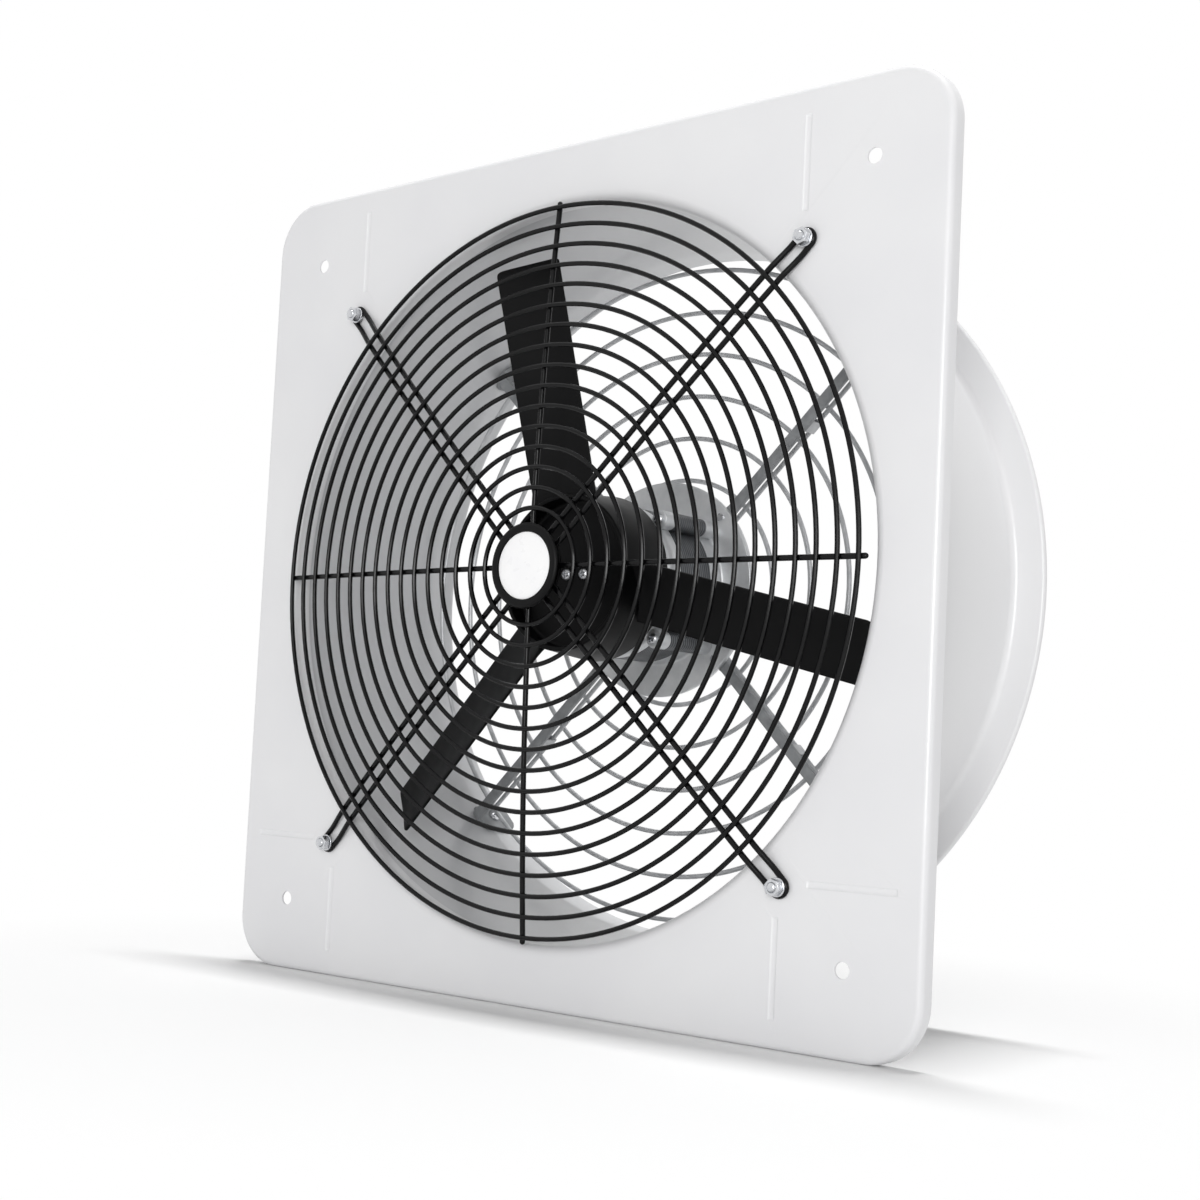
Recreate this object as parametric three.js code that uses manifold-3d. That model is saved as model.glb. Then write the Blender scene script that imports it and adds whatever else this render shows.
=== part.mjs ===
// A window exhaust fan: a square painted steel panel with a round duct behind it, a domed wire guard in
// front, and a three-blade impeller on a motor that four flat arms hold in the middle of the duct.
//
// Millimetres, +Z up. The fan's axis is Y: the room side and the guard face -Y, and air leaves towards +Y.
// The origin is on the axis, in the plane where the panel's folded rim meets the wall.
import * as THREE from "three";
import { mergeVertices } from "three/addons/utils/BufferGeometryUtils.js";
import Module from "manifold-3d";

const wasm = await Module();
wasm.setup();

// ---------------------------------------------------------------- driving dimensions
const SHEET = 1.2; // the steel of the panel and the duct
const GAP = 0.3; // left between neighbours that are seated on each other

const PANEL_SIDE = 500;
const PANEL_CORNER = 32;
const RIM_DEPTH = 10;
const RIM_BEND = 3.5;
const OPENING_RADIUS = 219.6; // where the flat of the panel starts to turn into the duct
const MOUTH_BEND = 6;
const COLLAR_END = 1; // the collar behind the mouth, measured from the wall plane
const WALL_HOLE_RADIUS = 4.25;
const WALL_HOLE_INSET = 44.5; // insets are measured from the panel's edge
const GROOVE_INSET = 85;
const GROOVE_END_INSET = 15;
const GROOVE_LENGTH = 52;
const GROOVE_WIDTH = 4;
const GROOVE_DEPTH = 0.6;

const DUCT_END = 144; // the duct's rear face, from the wall plane
const DUCT_BEND = 4.5;
const LIP_WIDTH = 19.2;
const LIP_RETURN = 2.4; // the lip's outer edge, turned back to the duct's rear face

const RING_COUNT = 16;
const RING_FIRST = 33.4;
const RING_LAST_INSET = 9.95; // from the edge of the opening to the outer ring
const RING_WIRE = 2.8;
const SPOKE_WIRE = 3.2;
const SPOKE_OVERHANG = 2.5;
const WELD = 0.35; // how far a spoke sinks into the rings
const DOME_CENTRE = 16.5; // the ring wire's height over the panel at the middle
const DOME_DROP = 9.3; // and how much lower it is at the outer ring
const HAIRPIN_SPACING = 9;
const STUD_MARGIN = 17.4; // from the edge of the opening to the studs that hold the guard

const BADGE_RADIUS = 25;
const BADGE_REAR_RADIUS = 21;
const BADGE_THICKNESS = 5.2;
const BADGE_RECESS = 2.6;
const BEZEL_WIDTH = 5.7;
const DISC_THICKNESS = 1.2;
const BACKPLATE_RADIUS = 20;
const BACKPLATE_THICKNESS = 2;
const SPOKE_GRIP = 6; // how much of each spoke lies between the badge and its backplate

const HUB_FRONT_RADIUS = 46;
const HUB_REAR_RADIUS = 49.5;
const HUB_FRONT = 3;
const HUB_LENGTH = 37;
const HUB_WALL = 3;
const HUB_WEB_DEPTH = 13; // how far the web that closes the barrel lies behind its front edge
const WEB_THICKNESS = 4;
const BLADE_COUNT = 3;
const BLADE_PHASE = 106.5; // degrees from +X towards +Z, the first blade's middle
const TIP_CLEARANCE = 10.6; // from the blades' tips to the panel's collar
const BLADE_THICKNESS = 3;
const BLADE_ROOT = { half: 17.5, front: 10.5, rear: 27.5, camber: 2 };
const BLADE_TIP = { half: 17.5, front: 14, rear: 33.5, camber: 2 };
const BLADE_CORNER = 3;

const SHAFT_RADIUS = 6;
const BUSH_WALL = 7.7;
const BUSH_PLATE = 6; // the bush's solid front, which the hub's screws are tapped into
const BUSH_LENGTH = 22;
const HUB_SCREW_CIRCLE = 6.5;

const MOTOR_RADIUS = 46;
const MOTOR_CLEARANCE = 3.6; // behind the hub
const COVER_DEPTH = 14;
const CORE_LENGTH = 30;
const COVER_WALL = 3;
const AIR_GAP = 0.6; // between the rotor and the stator core
const ROTOR_RADIUS = 30;
const ROTOR_LENGTH = 29;
const BEARING_DEPTH = 8; // from the shaft to the bearing's outside
const BEARING_WIDTH = 8;
const BEARING_BOSS_WALL = 2.5;
const BOLT_MARGIN = 4; // from the covers' wall to the bolts' axes
const EAR_RADIUS = 5.5;
const FLANGE_WIDTH = 21; // of the rear cover's round flange, which the arms are screwed to
const FLANGE_THICKNESS = 3.4;
const FLANGE_SCREW_INSET = 6;
const GROMMET_RADIUS = 5;
const GROMMET_INSET = 16;

const ARM_WIDTH = 7;
const ARM_THICKNESS = 3;
const PAD_WIDTH = 12; // of the arm's wider end, under the screw and the bolt
const PAD_MARGIN = 6;
const FOOT_WIDTH = 20;
const FOOT_TO_END = 6.5; // from the foot's end to the duct's rear face

const RING_FLAT = 2.4; // how deep a ring's flats are, from corner to middle

const REAR_RING_COUNT = 8;
const REAR_RING_FIRST = 17.5;
const REAR_LAST_INSET = 10.7; // from the duct's inside to the outer ring
const REAR_WIRE = 3;
const REAR_STANDOFF = 8; // between the arms and the guard's spokes
const CLIP_AFTER_RING = 5; // counted from the middle
const CLIP_LENGTH = 8;
const CLIP_WALL = 1.2;

// Fasteners: radii of the thread, its clearance hole and the head, and the head's height.
const M5 = { shank: 2.3, hole: 2.6, head: 4.6, headHeight: 3.2 };
const M4 = { shank: 1.9, hole: 2.2, head: 3.4, headHeight: 2.4 };
const NUT_HEIGHT = 4;
const WASHER_THICKNESS = 1;
const WASHER_RADIUS = 5;

// ---------------------------------------------------------------- places worked out from them
const PANEL_FRONT = -RIM_DEPTH;
const PANEL_BACK = PANEL_FRONT + SHEET;
const PANEL_HALF = PANEL_SIDE / 2;
const MOUTH_RADIUS = OPENING_RADIUS - MOUTH_BEND; // inside the collar
const DUCT_INNER = MOUTH_RADIUS + SHEET + GAP;
const DUCT_OUTER = DUCT_INNER + SHEET;
const DUCT_START = PANEL_FRONT + MOUTH_BEND;
const LIP_RADIUS = DUCT_OUTER + LIP_WIDTH;
const RING_LAST = OPENING_RADIUS - RING_LAST_INSET;
const RING_PITCH = (RING_LAST - RING_FIRST) / (RING_COUNT - 1);
const GUARD_STUD_CIRCLE = OPENING_RADIUS + STUD_MARGIN;
const SPOKE_INNER = BACKPLATE_RADIUS - SPOKE_GRIP;
const DISC_RADIUS = BADGE_RADIUS - BEZEL_WIDTH;
const SQUARE_SIDE = Math.sqrt(Math.PI) / 2; // of the square with the area of a round wire one across
const RING_SQUARE = RING_WIRE * SQUARE_SIDE;
const SPOKE_SQUARE = SPOKE_WIRE * SQUARE_SIDE;
const REAR_SQUARE = REAR_WIRE * SQUARE_SIDE;
const SPOKE_BEHIND_RING = (RING_SQUARE + SPOKE_SQUARE) / 2 - WELD;
const HUB_REAR = HUB_FRONT + HUB_LENGTH;
const BLADE_TIP_RADIUS = MOUTH_RADIUS - TIP_CLEARANCE;
const BUSH_RADIUS = SHAFT_RADIUS + GAP + BUSH_WALL;
const BEARING_RADIUS = SHAFT_RADIUS + BEARING_DEPTH;
const MOTOR_FRONT = HUB_REAR + MOTOR_CLEARANCE;
const CORE_BORE = ROTOR_RADIUS + AIR_GAP;
const BOLT_CIRCLE = MOTOR_RADIUS + BOLT_MARGIN;
const FLANGE_RADIUS = MOTOR_RADIUS + FLANGE_WIDTH;
const FLANGE_SCREW_CIRCLE = FLANGE_RADIUS - FLANGE_SCREW_INSET;
const GROMMET_OFFSET = MOTOR_RADIUS - GROMMET_INSET;
const MOTOR_REAR = MOTOR_FRONT + COVER_DEPTH + GAP + CORE_LENGTH + GAP + COVER_DEPTH;
const CORE_FRONT = MOTOR_FRONT + COVER_DEPTH + GAP;
const CORE_MIDDLE = CORE_FRONT + CORE_LENGTH / 2;
const ARM_FRONT = MOTOR_REAR + GAP;
const ARM_REAR = ARM_FRONT + ARM_THICKNESS;
const FOOT_REAR = DUCT_END - FOOT_TO_END;
const REAR_RING_LAST = DUCT_INNER - REAR_LAST_INSET;
const REAR_RING_PITCH = (REAR_RING_LAST - REAR_RING_FIRST) / (REAR_RING_COUNT - 1);
const CORNER_ANGLES = [45, 135, 225, 315];
const QUARTERS = [0, 90, 180, 270];

// ---------------------------------------------------------------- finishes
const finish = (color, roughness, metalness) =>
  new THREE.MeshStandardMaterial({ color, roughness, metalness });
const whitePaint = finish(0xe4e5e7, 0.4, 0);
const blackWire = finish(0x1a1a1b, 0.45, 0);
const blackPlastic = finish(0x161616, 0.5, 0);
const whitePlastic = finish(0xfafafa, 0.35, 0);
const zinc = finish(0xc3c5c8, 0.3, 1);
const castAluminium = finish(0xb4b6b8, 0.5, 1);
const laminations = finish(0x6f7174, 0.55, 1);
const steel = finish(0xa8aaad, 0.35, 1);
const copper = finish(0x9c5a34, 0.5, 0.6);
const armPaint = finish(0x9fa1a3, 0.5, 0.3);
const rearWirePaint = finish(0xb0b1b2, 0.4, 0.6);
const rubber = finish(0x1c1c1c, 0.85, 0);

// ---------------------------------------------------------------- helpers
const radians = (degrees) => (degrees * Math.PI) / 180;
const lerp = (a, b, t) => a + (b - a) * t;

// A point at radius r, turned by an angle in radians from +X towards +Z.
const polar = (r, angle, y) => new THREE.Vector3(r * Math.cos(angle), y, r * Math.sin(angle));

// Geometry with shared vertices merged and its faces pointing out.
function outward(geometry) {
  const bare = geometry.clone();
  for (const name of Object.keys(bare.attributes)) {
    if (name !== "position") bare.deleteAttribute(name);
  }
  const merged = mergeVertices(bare, 1e-4);
  const index = merged.index.array;
  const corner = [new THREE.Vector3(), new THREE.Vector3(), new THREE.Vector3()];
  let volume = 0;
  for (let i = 0; i < index.length; i += 3) {
    corner.forEach((v, k) => v.fromBufferAttribute(merged.attributes.position, index[i + k]));
    volume += corner[0].dot(corner[1].cross(corner[2]));
  }
  if (volume < 0) {
    for (let i = 0; i < index.length; i += 3) {
      [index[i + 1], index[i + 2]] = [index[i + 2], index[i + 1]];
    }
  }
  return merged;
}

function toSolid(geometry) {
  const g = outward(geometry);
  const mesh = new wasm.Mesh({
    numProp: 3,
    vertProperties: new Float32Array(g.attributes.position.array),
    triVerts: new Uint32Array(g.index.array),
  });
  return new wasm.Manifold(mesh);
}

function fromSolid(solid) {
  const mesh = solid.getMesh();
  const geometry = new THREE.BufferGeometry();
  geometry.setAttribute("position", new THREE.BufferAttribute(mesh.vertProperties, 3));
  geometry.setIndex(new THREE.BufferAttribute(mesh.triVerts, 1));
  return geometry;
}

// The first geometry with others joined on and others cut away.
function combine(first, { add = [], cut = [] }) {
  let solid = toSolid(first);
  for (const extra of add) solid = solid.add(toSolid(extra));
  for (const tool of cut) solid = solid.subtract(toSolid(tool));
  return fromSolid(solid);
}

const fan = new THREE.Group();

function piece(name, geometry, material) {
  const shown = outward(geometry).toNonIndexed();
  shown.computeVertexNormals();
  const mesh = new THREE.Mesh(shown, material);
  mesh.name = name;
  fan.add(mesh);
}

// A surface over rows of points: every row is a closed loop with the same even number of points. The rows
// run round to the first again, or the first and last row are closed by a strip across them.
function loft(rows, ring) {
  const count = rows[0].length;
  const position = rows.flat().flatMap((p) => [p.x, p.y, p.z]);
  const index = [];
  const quad = (a, b, c, d) => index.push(a, b, c, a, c, d);
  const steps = ring ? rows.length : rows.length - 1;
  for (let i = 0; i < steps; i += 1) {
    const here = i * count;
    const next = ((i + 1) % rows.length) * count;
    for (let j = 0; j < count; j += 1) {
      const k = (j + 1) % count;
      quad(here + j, here + k, next + k, next + j);
    }
  }
  if (!ring) {
    const last = (rows.length - 1) * count;
    for (let j = 0; j < count / 2 - 1; j += 1) {
      const opposite = count - 1 - j;
      quad(j, opposite, opposite - 1, j + 1);
      quad(last + j, last + j + 1, last + opposite - 1, last + opposite);
    }
  }
  const geometry = new THREE.BufferGeometry();
  geometry.setAttribute("position", new THREE.Float32BufferAttribute(position, 3));
  geometry.setIndex(index);
  return geometry;
}

// A turned piece about the Y axis from [radius, y] points, closed on itself or from axis to axis.
function turned(profile, segments, phase = 0) {
  const onAxis = profile[0][0] === 0;
  const points = profile.map(([r, y]) => new THREE.Vector2(r, y));
  if (!onAxis) points.push(points[0].clone());
  return new THREE.LatheGeometry(points, segments, phase);
}

const cylinder = (radius, y0, y1, segments = 12) =>
  turned([[0, y0], [radius, y0], [radius, y1], [0, y1]], segments);
const tube = (inner, outer, y0, y1, segments = 12) =>
  turned([[inner, y0], [outer, y0], [outer, y1], [inner, y1]], segments);

function box(x0, x1, y0, y1, z0, z1) {
  const geometry = new THREE.BoxGeometry(x1 - x0, y1 - y0, z1 - z0);
  return geometry.translate((x0 + x1) / 2, (y0 + y1) / 2, (z0 + z1) / 2);
}

// Turns what was made on the +X side to an angle in degrees from +X towards +Z.
const turnedTo = (geometry, degrees) => geometry.clone().rotateY(-radians(degrees));

// Puts what was made on the Y axis at a radius and an angle.
const placedAt = (geometry, radius, degrees) => turnedTo(geometry.clone().translate(radius, 0, 0), degrees);

// A square wire along points that never run along Y.
function wire(points, size) {
  const rows = points.map((point, i) => {
    const before = points[Math.max(i - 1, 0)];
    const after = points[Math.min(i + 1, points.length - 1)];
    const along = after.clone().sub(before).normalize();
    const side = along.clone().cross(new THREE.Vector3(0, -1, 0)).normalize().multiplyScalar(size / 2);
    const up = side.clone().cross(along).normalize().multiplyScalar(size / 2);
    return [
      point.clone().add(side).add(up),
      point.clone().sub(side).add(up),
      point.clone().sub(side).sub(up),
      point.clone().add(side).sub(up),
    ];
  });
  return loft(rows, false);
}

// A ring of square wire, with just enough sides to lie within RING_FLAT / 2 of the round one.
function wireRing(radius, y, size) {
  const sides = Math.ceil(Math.PI / Math.acos(1 - RING_FLAT / radius));
  const middle = radius + RING_FLAT / 2;
  return tube(middle - size / 2, middle + size / 2, y - size / 2, y + size / 2, sides);
}

// A screw along Y with a pan head: the head's underside is at y, and the shank runs to tip.
function panScrew(y, tip, { shank, head, headHeight }) {
  const up = Math.sign(y - tip);
  return turned([
    [0, y + up * headHeight],
    [head * 0.6, y + up * headHeight],
    [head, y + up * headHeight * 0.6],
    [head, y],
    [shank, y],
    [shank, tip],
    [0, tip],
  ], 8);
}

const hexagon = (radius, y0, y1) => cylinder(radius, y0, y1, 6);

// ---------------------------------------------------------------- panel and duct
// Every loop of the panel and the duct has its points at these angles: a few round each corner's arc, and
// more along the sides, so the collar and the duct round it have the same facets.
const CORNER_STEPS = 4;
const SIDE_STEPS = 9;
const straight = PANEL_HALF - PANEL_CORNER;
const cornerStart = Math.atan2(straight, PANEL_HALF);
const loopAngles = QUARTERS.flatMap((quarter) => {
  const corner = Array.from({ length: CORNER_STEPS + 1 }, (_, i) =>
    lerp(cornerStart, Math.PI / 2 - cornerStart, i / CORNER_STEPS));
  const side = Array.from({ length: SIDE_STEPS - 1 }, (_, i) =>
    lerp(Math.PI / 2 - cornerStart, Math.PI / 2 + cornerStart, (i + 1) / SIDE_STEPS));
  return [...corner, ...side].map((angle) => angle + radians(quarter));
});

const circleLoop = (radius, y) => loopAngles.map((angle) => polar(radius, angle, y));

// The panel's outline, drawn in from its edge by an inset. A corner's points go round its arc by step.
function squareLoop(inset, y) {
  const reach = PANEL_HALF - inset;
  const round = PANEL_CORNER - inset;
  return loopAngles.map((angle, i) => {
    const step = i % (CORNER_STEPS + SIDE_STEPS);
    const quarter = Math.floor(i / (CORNER_STEPS + SIDE_STEPS)) * (Math.PI / 2);
    if (step <= CORNER_STEPS) {
      const turn = quarter + lerp(0, Math.PI / 2, step / CORNER_STEPS);
      const centre = new THREE.Vector3(straight, 0, straight);
      centre.applyAxisAngle(new THREE.Vector3(0, 1, 0), -quarter);
      return new THREE.Vector3(centre.x + round * Math.cos(turn), y, centre.z + round * Math.sin(turn));
    }
    const x = Math.cos(angle);
    const z = Math.sin(angle);
    const scale = reach / Math.max(Math.abs(x), Math.abs(z));
    return new THREE.Vector3(x * scale, y, z * scale);
  });
}

// The angles of a quarter bend, from 0 to 90 degrees.
const bend = (steps) => Array.from({ length: steps + 1 }, (_, i) => radians((90 * i) / steps));

// Bars along the pressed grooves: an upright one near each corner, and a level one near the lower corners.
function grooveBars(width, y0, y1) {
  const across = PANEL_HALF - GROOVE_INSET;
  const along = PANEL_HALF - GROOVE_END_INSET - GROOVE_LENGTH / 2;
  const upright = new THREE.BoxGeometry(width, y1 - y0, GROOVE_LENGTH);
  const level = new THREE.BoxGeometry(GROOVE_LENGTH, y1 - y0, width);
  const y = (y0 + y1) / 2;
  return [-1, 1].flatMap((side) => [
    upright.clone().translate(side * across, y, along),
    upright.clone().translate(side * across, y, -along),
    level.clone().translate(side * along, y, -across),
  ]);
}

function panel() {
  const mouthCentre = PANEL_FRONT + MOUTH_BEND;
  const rimCentre = PANEL_FRONT + RIM_BEND;
  const mouth = (radius) => bend(2).map((a) =>
    circleLoop(OPENING_RADIUS - radius * Math.sin(a), mouthCentre - radius * Math.cos(a)));
  const rim = (radius) => bend(2).map((a) =>
    squareLoop(RIM_BEND - radius * Math.sin(a), rimCentre - radius * Math.cos(a)));
  const rows = [
    ...mouth(MOUTH_BEND),
    circleLoop(MOUTH_RADIUS, COLLAR_END),
    circleLoop(MOUTH_RADIUS + SHEET, COLLAR_END),
    ...mouth(MOUTH_BEND - SHEET).reverse(),
    ...rim(RIM_BEND - SHEET),
    squareLoop(SHEET, 0),
    squareLoop(0, 0),
    ...rim(RIM_BEND).reverse(),
  ];
  const ridges = grooveBars(GROOVE_WIDTH + SHEET, PANEL_BACK - 0.1, PANEL_BACK + GROOVE_DEPTH);
  const grooves = grooveBars(GROOVE_WIDTH, PANEL_FRONT - 1, PANEL_FRONT + GROOVE_DEPTH);
  const hole = (radius) => cylinder(radius, PANEL_FRONT - 1, PANEL_BACK + 1, 12);
  const wallHoleCircle = (PANEL_HALF - WALL_HOLE_INSET) * Math.SQRT2;
  const wallHoles = CORNER_ANGLES.map((a) => placedAt(hole(WALL_HOLE_RADIUS), wallHoleCircle, a));
  const studHoles = CORNER_ANGLES.map((a) => placedAt(hole(M5.hole), GUARD_STUD_CIRCLE, a));
  return combine(loft(rows, true), { add: ridges, cut: [...grooves, ...wallHoles, ...studHoles] });
}

// A foot is flat, so its long edges touch the duct's round wall first.
const footFace = Math.sqrt((DUCT_INNER * 0.9995 - GAP) ** 2 - (FOOT_WIDTH / 2) ** 2);
const footScrewY = (ARM_REAR + FOOT_REAR) / 2;

function duct() {
  const lipRear = DUCT_END - LIP_RETURN;
  const bendCentre = lipRear - SHEET - DUCT_BEND;
  const lipInner = DUCT_OUTER + DUCT_BEND;
  const sweep = (radius) => bend(2).map((a) =>
    circleLoop(lipInner - radius * Math.cos(a), bendCentre + radius * Math.sin(a)));
  const rows = [
    circleLoop(DUCT_INNER, DUCT_START),
    ...sweep(DUCT_BEND + SHEET),
    circleLoop(LIP_RADIUS - SHEET, lipRear),
    circleLoop(LIP_RADIUS - SHEET, DUCT_END),
    circleLoop(LIP_RADIUS, DUCT_END),
    circleLoop(LIP_RADIUS, lipRear - SHEET),
    ...sweep(DUCT_BEND).reverse(),
    circleLoop(DUCT_OUTER, DUCT_START),
  ];
  const drill = cylinder(M4.hole, DUCT_INNER - 3, DUCT_OUTER + 3, 8).rotateZ(-Math.PI / 2);
  const drills = CORNER_ANGLES.map((a) => turnedTo(drill.clone().translate(0, footScrewY, 0), a));
  return combine(loft(rows, true), { cut: drills });
}

piece("front_panel", panel(), whitePaint);
piece("duct_shell", duct(), whitePaint);

// ---------------------------------------------------------------- front guard and its screws
// The domed guard's rings lie on a parabola; y is where a ring of radius r lies.
const domeAt = (r) => PANEL_FRONT - DOME_CENTRE + DOME_DROP * (r / RING_LAST) ** 2;
const spokeAt = (r) => domeAt(r) + SPOKE_BEHIND_RING;
const hookY = PANEL_FRONT - GAP - SPOKE_SQUARE / 2; // the hooks lie on the panel

function spokeRadii(outer) {
  const steps = Math.ceil((outer - SPOKE_INNER) / (4 * RING_PITCH));
  return Array.from({ length: steps + 1 }, (_, i) => lerp(SPOKE_INNER, outer, i / steps));
}

// A hairpin: out along one leg, round the screw, and back along the other.
function hairpin(degrees) {
  const legEnd = RING_LAST + SPOKE_OVERHANG;
  const side = HAIRPIN_SPACING / 2;
  const leg = spokeRadii(legEnd).map((r) => [r, spokeAt(Math.min(r, RING_LAST))]);
  const out = [...leg, [GUARD_STUD_CIRCLE - side, hookY]].map(([r, y]) => new THREE.Vector3(r, y, side));
  const hook = [45, 90, 135].map((t) => new THREE.Vector3(
    GUARD_STUD_CIRCLE + side * Math.sin(radians(t)), hookY, side * Math.cos(radians(t)),
  ));
  const start = new THREE.Vector3(GUARD_STUD_CIRCLE, hookY, side);
  const back = [start, ...out.toReversed()].map((p) => new THREE.Vector3(p.x, p.y, -side));
  return turnedTo(wire([...out, start, ...hook, ...back], SPOKE_SQUARE), degrees);
}

function spoke(degrees) {
  const points = spokeRadii(RING_LAST + SPOKE_OVERHANG).map((r) =>
    new THREE.Vector3(r, spokeAt(Math.min(r, RING_LAST)), 0));
  return turnedTo(wire(points, SPOKE_SQUARE), degrees);
}

function frontGuard() {
  const rings = Array.from({ length: RING_COUNT }, (_, k) => {
    const radius = RING_FIRST + RING_PITCH * k;
    return wireRing(radius, domeAt(radius), RING_SQUARE);
  });
  const hairpins = CORNER_ANGLES.map(hairpin);
  return combine(rings[0], { add: [...rings.slice(1), ...hairpins, ...QUARTERS.map(spoke)] });
}

piece("front_guard", frontGuard(), blackWire);

// Each stud's head is behind the panel. In front of it come the hook, a washer and a nut.
const washerRear = hookY - SPOKE_SQUARE / 2 - GAP;
const nutRear = washerRear - WASHER_THICKNESS - GAP;
const nutFront = nutRear - NUT_HEIGHT;
const studHeadFront = PANEL_BACK + GAP;
const guardStud = turned([
  [0, studHeadFront + M5.headHeight],
  [M5.head, studHeadFront + M5.headHeight],
  [M5.head, studHeadFront],
  [M5.shank, studHeadFront],
  [M5.shank, nutFront - 0.6],
  [M5.shank - 0.5, nutFront - 1.1],
  [0, nutFront - 1.1],
], 6);
const guardWasher = tube(M5.hole, WASHER_RADIUS, washerRear - WASHER_THICKNESS, washerRear, 12);
const guardNut = combine(hexagon(M5.head, nutFront, nutRear), {
  cut: [cylinder(M5.hole, nutFront - 1, nutRear + 1, 6)],
});
CORNER_ANGLES.forEach((angle, i) => {
  piece(`guard_stud_${i + 1}`, placedAt(guardStud, GUARD_STUD_CIRCLE, angle), zinc);
  piece(`guard_washer_${i + 1}`, placedAt(guardWasher, GUARD_STUD_CIRCLE, angle), zinc);
  piece(`guard_nut_${i + 1}`, placedAt(guardNut, GUARD_STUD_CIRCLE, angle), zinc);
});

// ---------------------------------------------------------------- badge, clamped through the guard's middle
const badgeRear = spokeAt(0) - SPOKE_SQUARE / 2 - GAP;
const badgeFront = badgeRear - BADGE_THICKNESS;
const recessFloor = badgeFront + BADGE_RECESS;
const badgeHoleEnd = recessFloor + 0.8;
piece("badge_bezel", turned([
  [0, recessFloor],
  [DISC_RADIUS + GAP, recessFloor],
  [DISC_RADIUS + GAP, badgeFront],
  [BADGE_RADIUS - 1.2, badgeFront],
  [BADGE_RADIUS, badgeFront + 1.2],
  [BADGE_RADIUS, badgeFront + 2.2],
  [BADGE_REAR_RADIUS, badgeRear],
  [M4.hole, badgeRear],
  [M4.hole, badgeHoleEnd],
  [0, badgeHoleEnd],
], 24), blackPlastic);
const discRear = recessFloor - GAP;
piece("badge_disc", cylinder(DISC_RADIUS, discRear - DISC_THICKNESS, discRear, 24), whitePlastic);
const backplateFront = spokeAt(BACKPLATE_RADIUS) + SPOKE_SQUARE / 2 + GAP;
const backplateRear = backplateFront + BACKPLATE_THICKNESS;
piece("badge_backplate", tube(M4.hole, BACKPLATE_RADIUS, backplateFront, backplateRear, 16), blackPlastic);
piece("badge_screw", panScrew(backplateRear + GAP, badgeHoleEnd + GAP, M4), zinc);

// ---------------------------------------------------------------- impeller
const webFront = HUB_FRONT + HUB_WEB_DEPTH;
const webRear = webFront + WEB_THICKNESS;
const hubAt = (y) => lerp(HUB_FRONT_RADIUS, HUB_REAR_RADIUS, (y - HUB_FRONT) / HUB_LENGTH);
const hubBody = turned([
  [0, webFront],
  [hubAt(webFront) - HUB_WALL, webFront],
  [HUB_FRONT_RADIUS - HUB_WALL, HUB_FRONT],
  [HUB_FRONT_RADIUS - 1, HUB_FRONT],
  [HUB_FRONT_RADIUS, HUB_FRONT + 1],
  [HUB_REAR_RADIUS, HUB_REAR],
  [HUB_REAR_RADIUS - HUB_WALL, HUB_REAR],
  [hubAt(webRear) - HUB_WALL, webRear],
  [0, webRear],
], 36);
// Two screws clamp the hub's web to the solid front of a bush, and the shaft ends in the bush's bore.
const bushFront = webRear + GAP;
const bushFloor = bushFront + BUSH_PLATE;
const bushRear = bushFront + BUSH_LENGTH;
const hubScrewTool = cylinder(M4.hole, HUB_FRONT, bushFloor + 1, 8);
const hubScrewHoles = [0, 180].map((a) => placedAt(hubScrewTool, HUB_SCREW_CIRCLE, a));
piece("impeller_hub", combine(hubBody, { cut: hubScrewHoles }), blackPlastic);

// A blade's section at radius r: its front edge leads, its rear edge trails, and both sides bow by camber.
function bladeSection(r, phase, corner) {
  const t = (r - HUB_REAR_RADIUS) / (BLADE_TIP_RADIUS - HUB_REAR_RADIUS);
  const at = (key) => lerp(BLADE_ROOT[key], BLADE_TIP[key], t);
  const chordSteps = [0, 0.25, 0.5, 0.75, 1];
  const lead = at("half") - corner;
  const rise = corner * ((at("rear") - at("front")) / (2 * at("half")));
  const slope = Math.atan2(at("rear") - at("front"), 2 * at("half"));
  const side = (sign) => chordSteps.map((s) => {
    const thick = BLADE_THICKNESS * (0.35 + 0.15 * Math.sin(Math.PI * s)) * sign;
    const across = lerp(lead, -at("half"), s) + thick * Math.sin(slope);
    const bow = at("camber") * 4 * s * (1 - s);
    const y = lerp(at("front") + rise, at("rear"), s) + bow + thick * Math.cos(slope);
    return polar(r, phase + across / r, y);
  });
  return [...side(1), ...side(-1).reverse()];
}

function blade(degrees) {
  const phase = radians(degrees);
  const rootRadius = HUB_FRONT_RADIUS - 1;
  const tipStart = BLADE_TIP_RADIUS - BLADE_CORNER;
  const stations = [0, 0.12, 0.3, 0.6, 1].map((t) => lerp(rootRadius, tipStart, t));
  const rows = stations.map((r) => bladeSection(r, phase, 0));
  rows.push(bladeSection(BLADE_TIP_RADIUS - BLADE_CORNER * 0.3, phase, BLADE_CORNER * 0.3));
  rows.push(bladeSection(BLADE_TIP_RADIUS, phase, BLADE_CORNER));
  const clearance = turned([
    [0, HUB_FRONT - 1],
    [hubAt(HUB_FRONT - 1) + GAP, HUB_FRONT - 1],
    [hubAt(HUB_REAR + 1) + GAP, HUB_REAR + 1],
    [0, HUB_REAR + 1],
  ], 36);
  return combine(loft(rows, false), { cut: [clearance] });
}

for (let i = 0; i < BLADE_COUNT; i += 1) {
  piece(`blade_${i + 1}`, blade(BLADE_PHASE + (360 / BLADE_COUNT) * i), blackPlastic);
}

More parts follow.
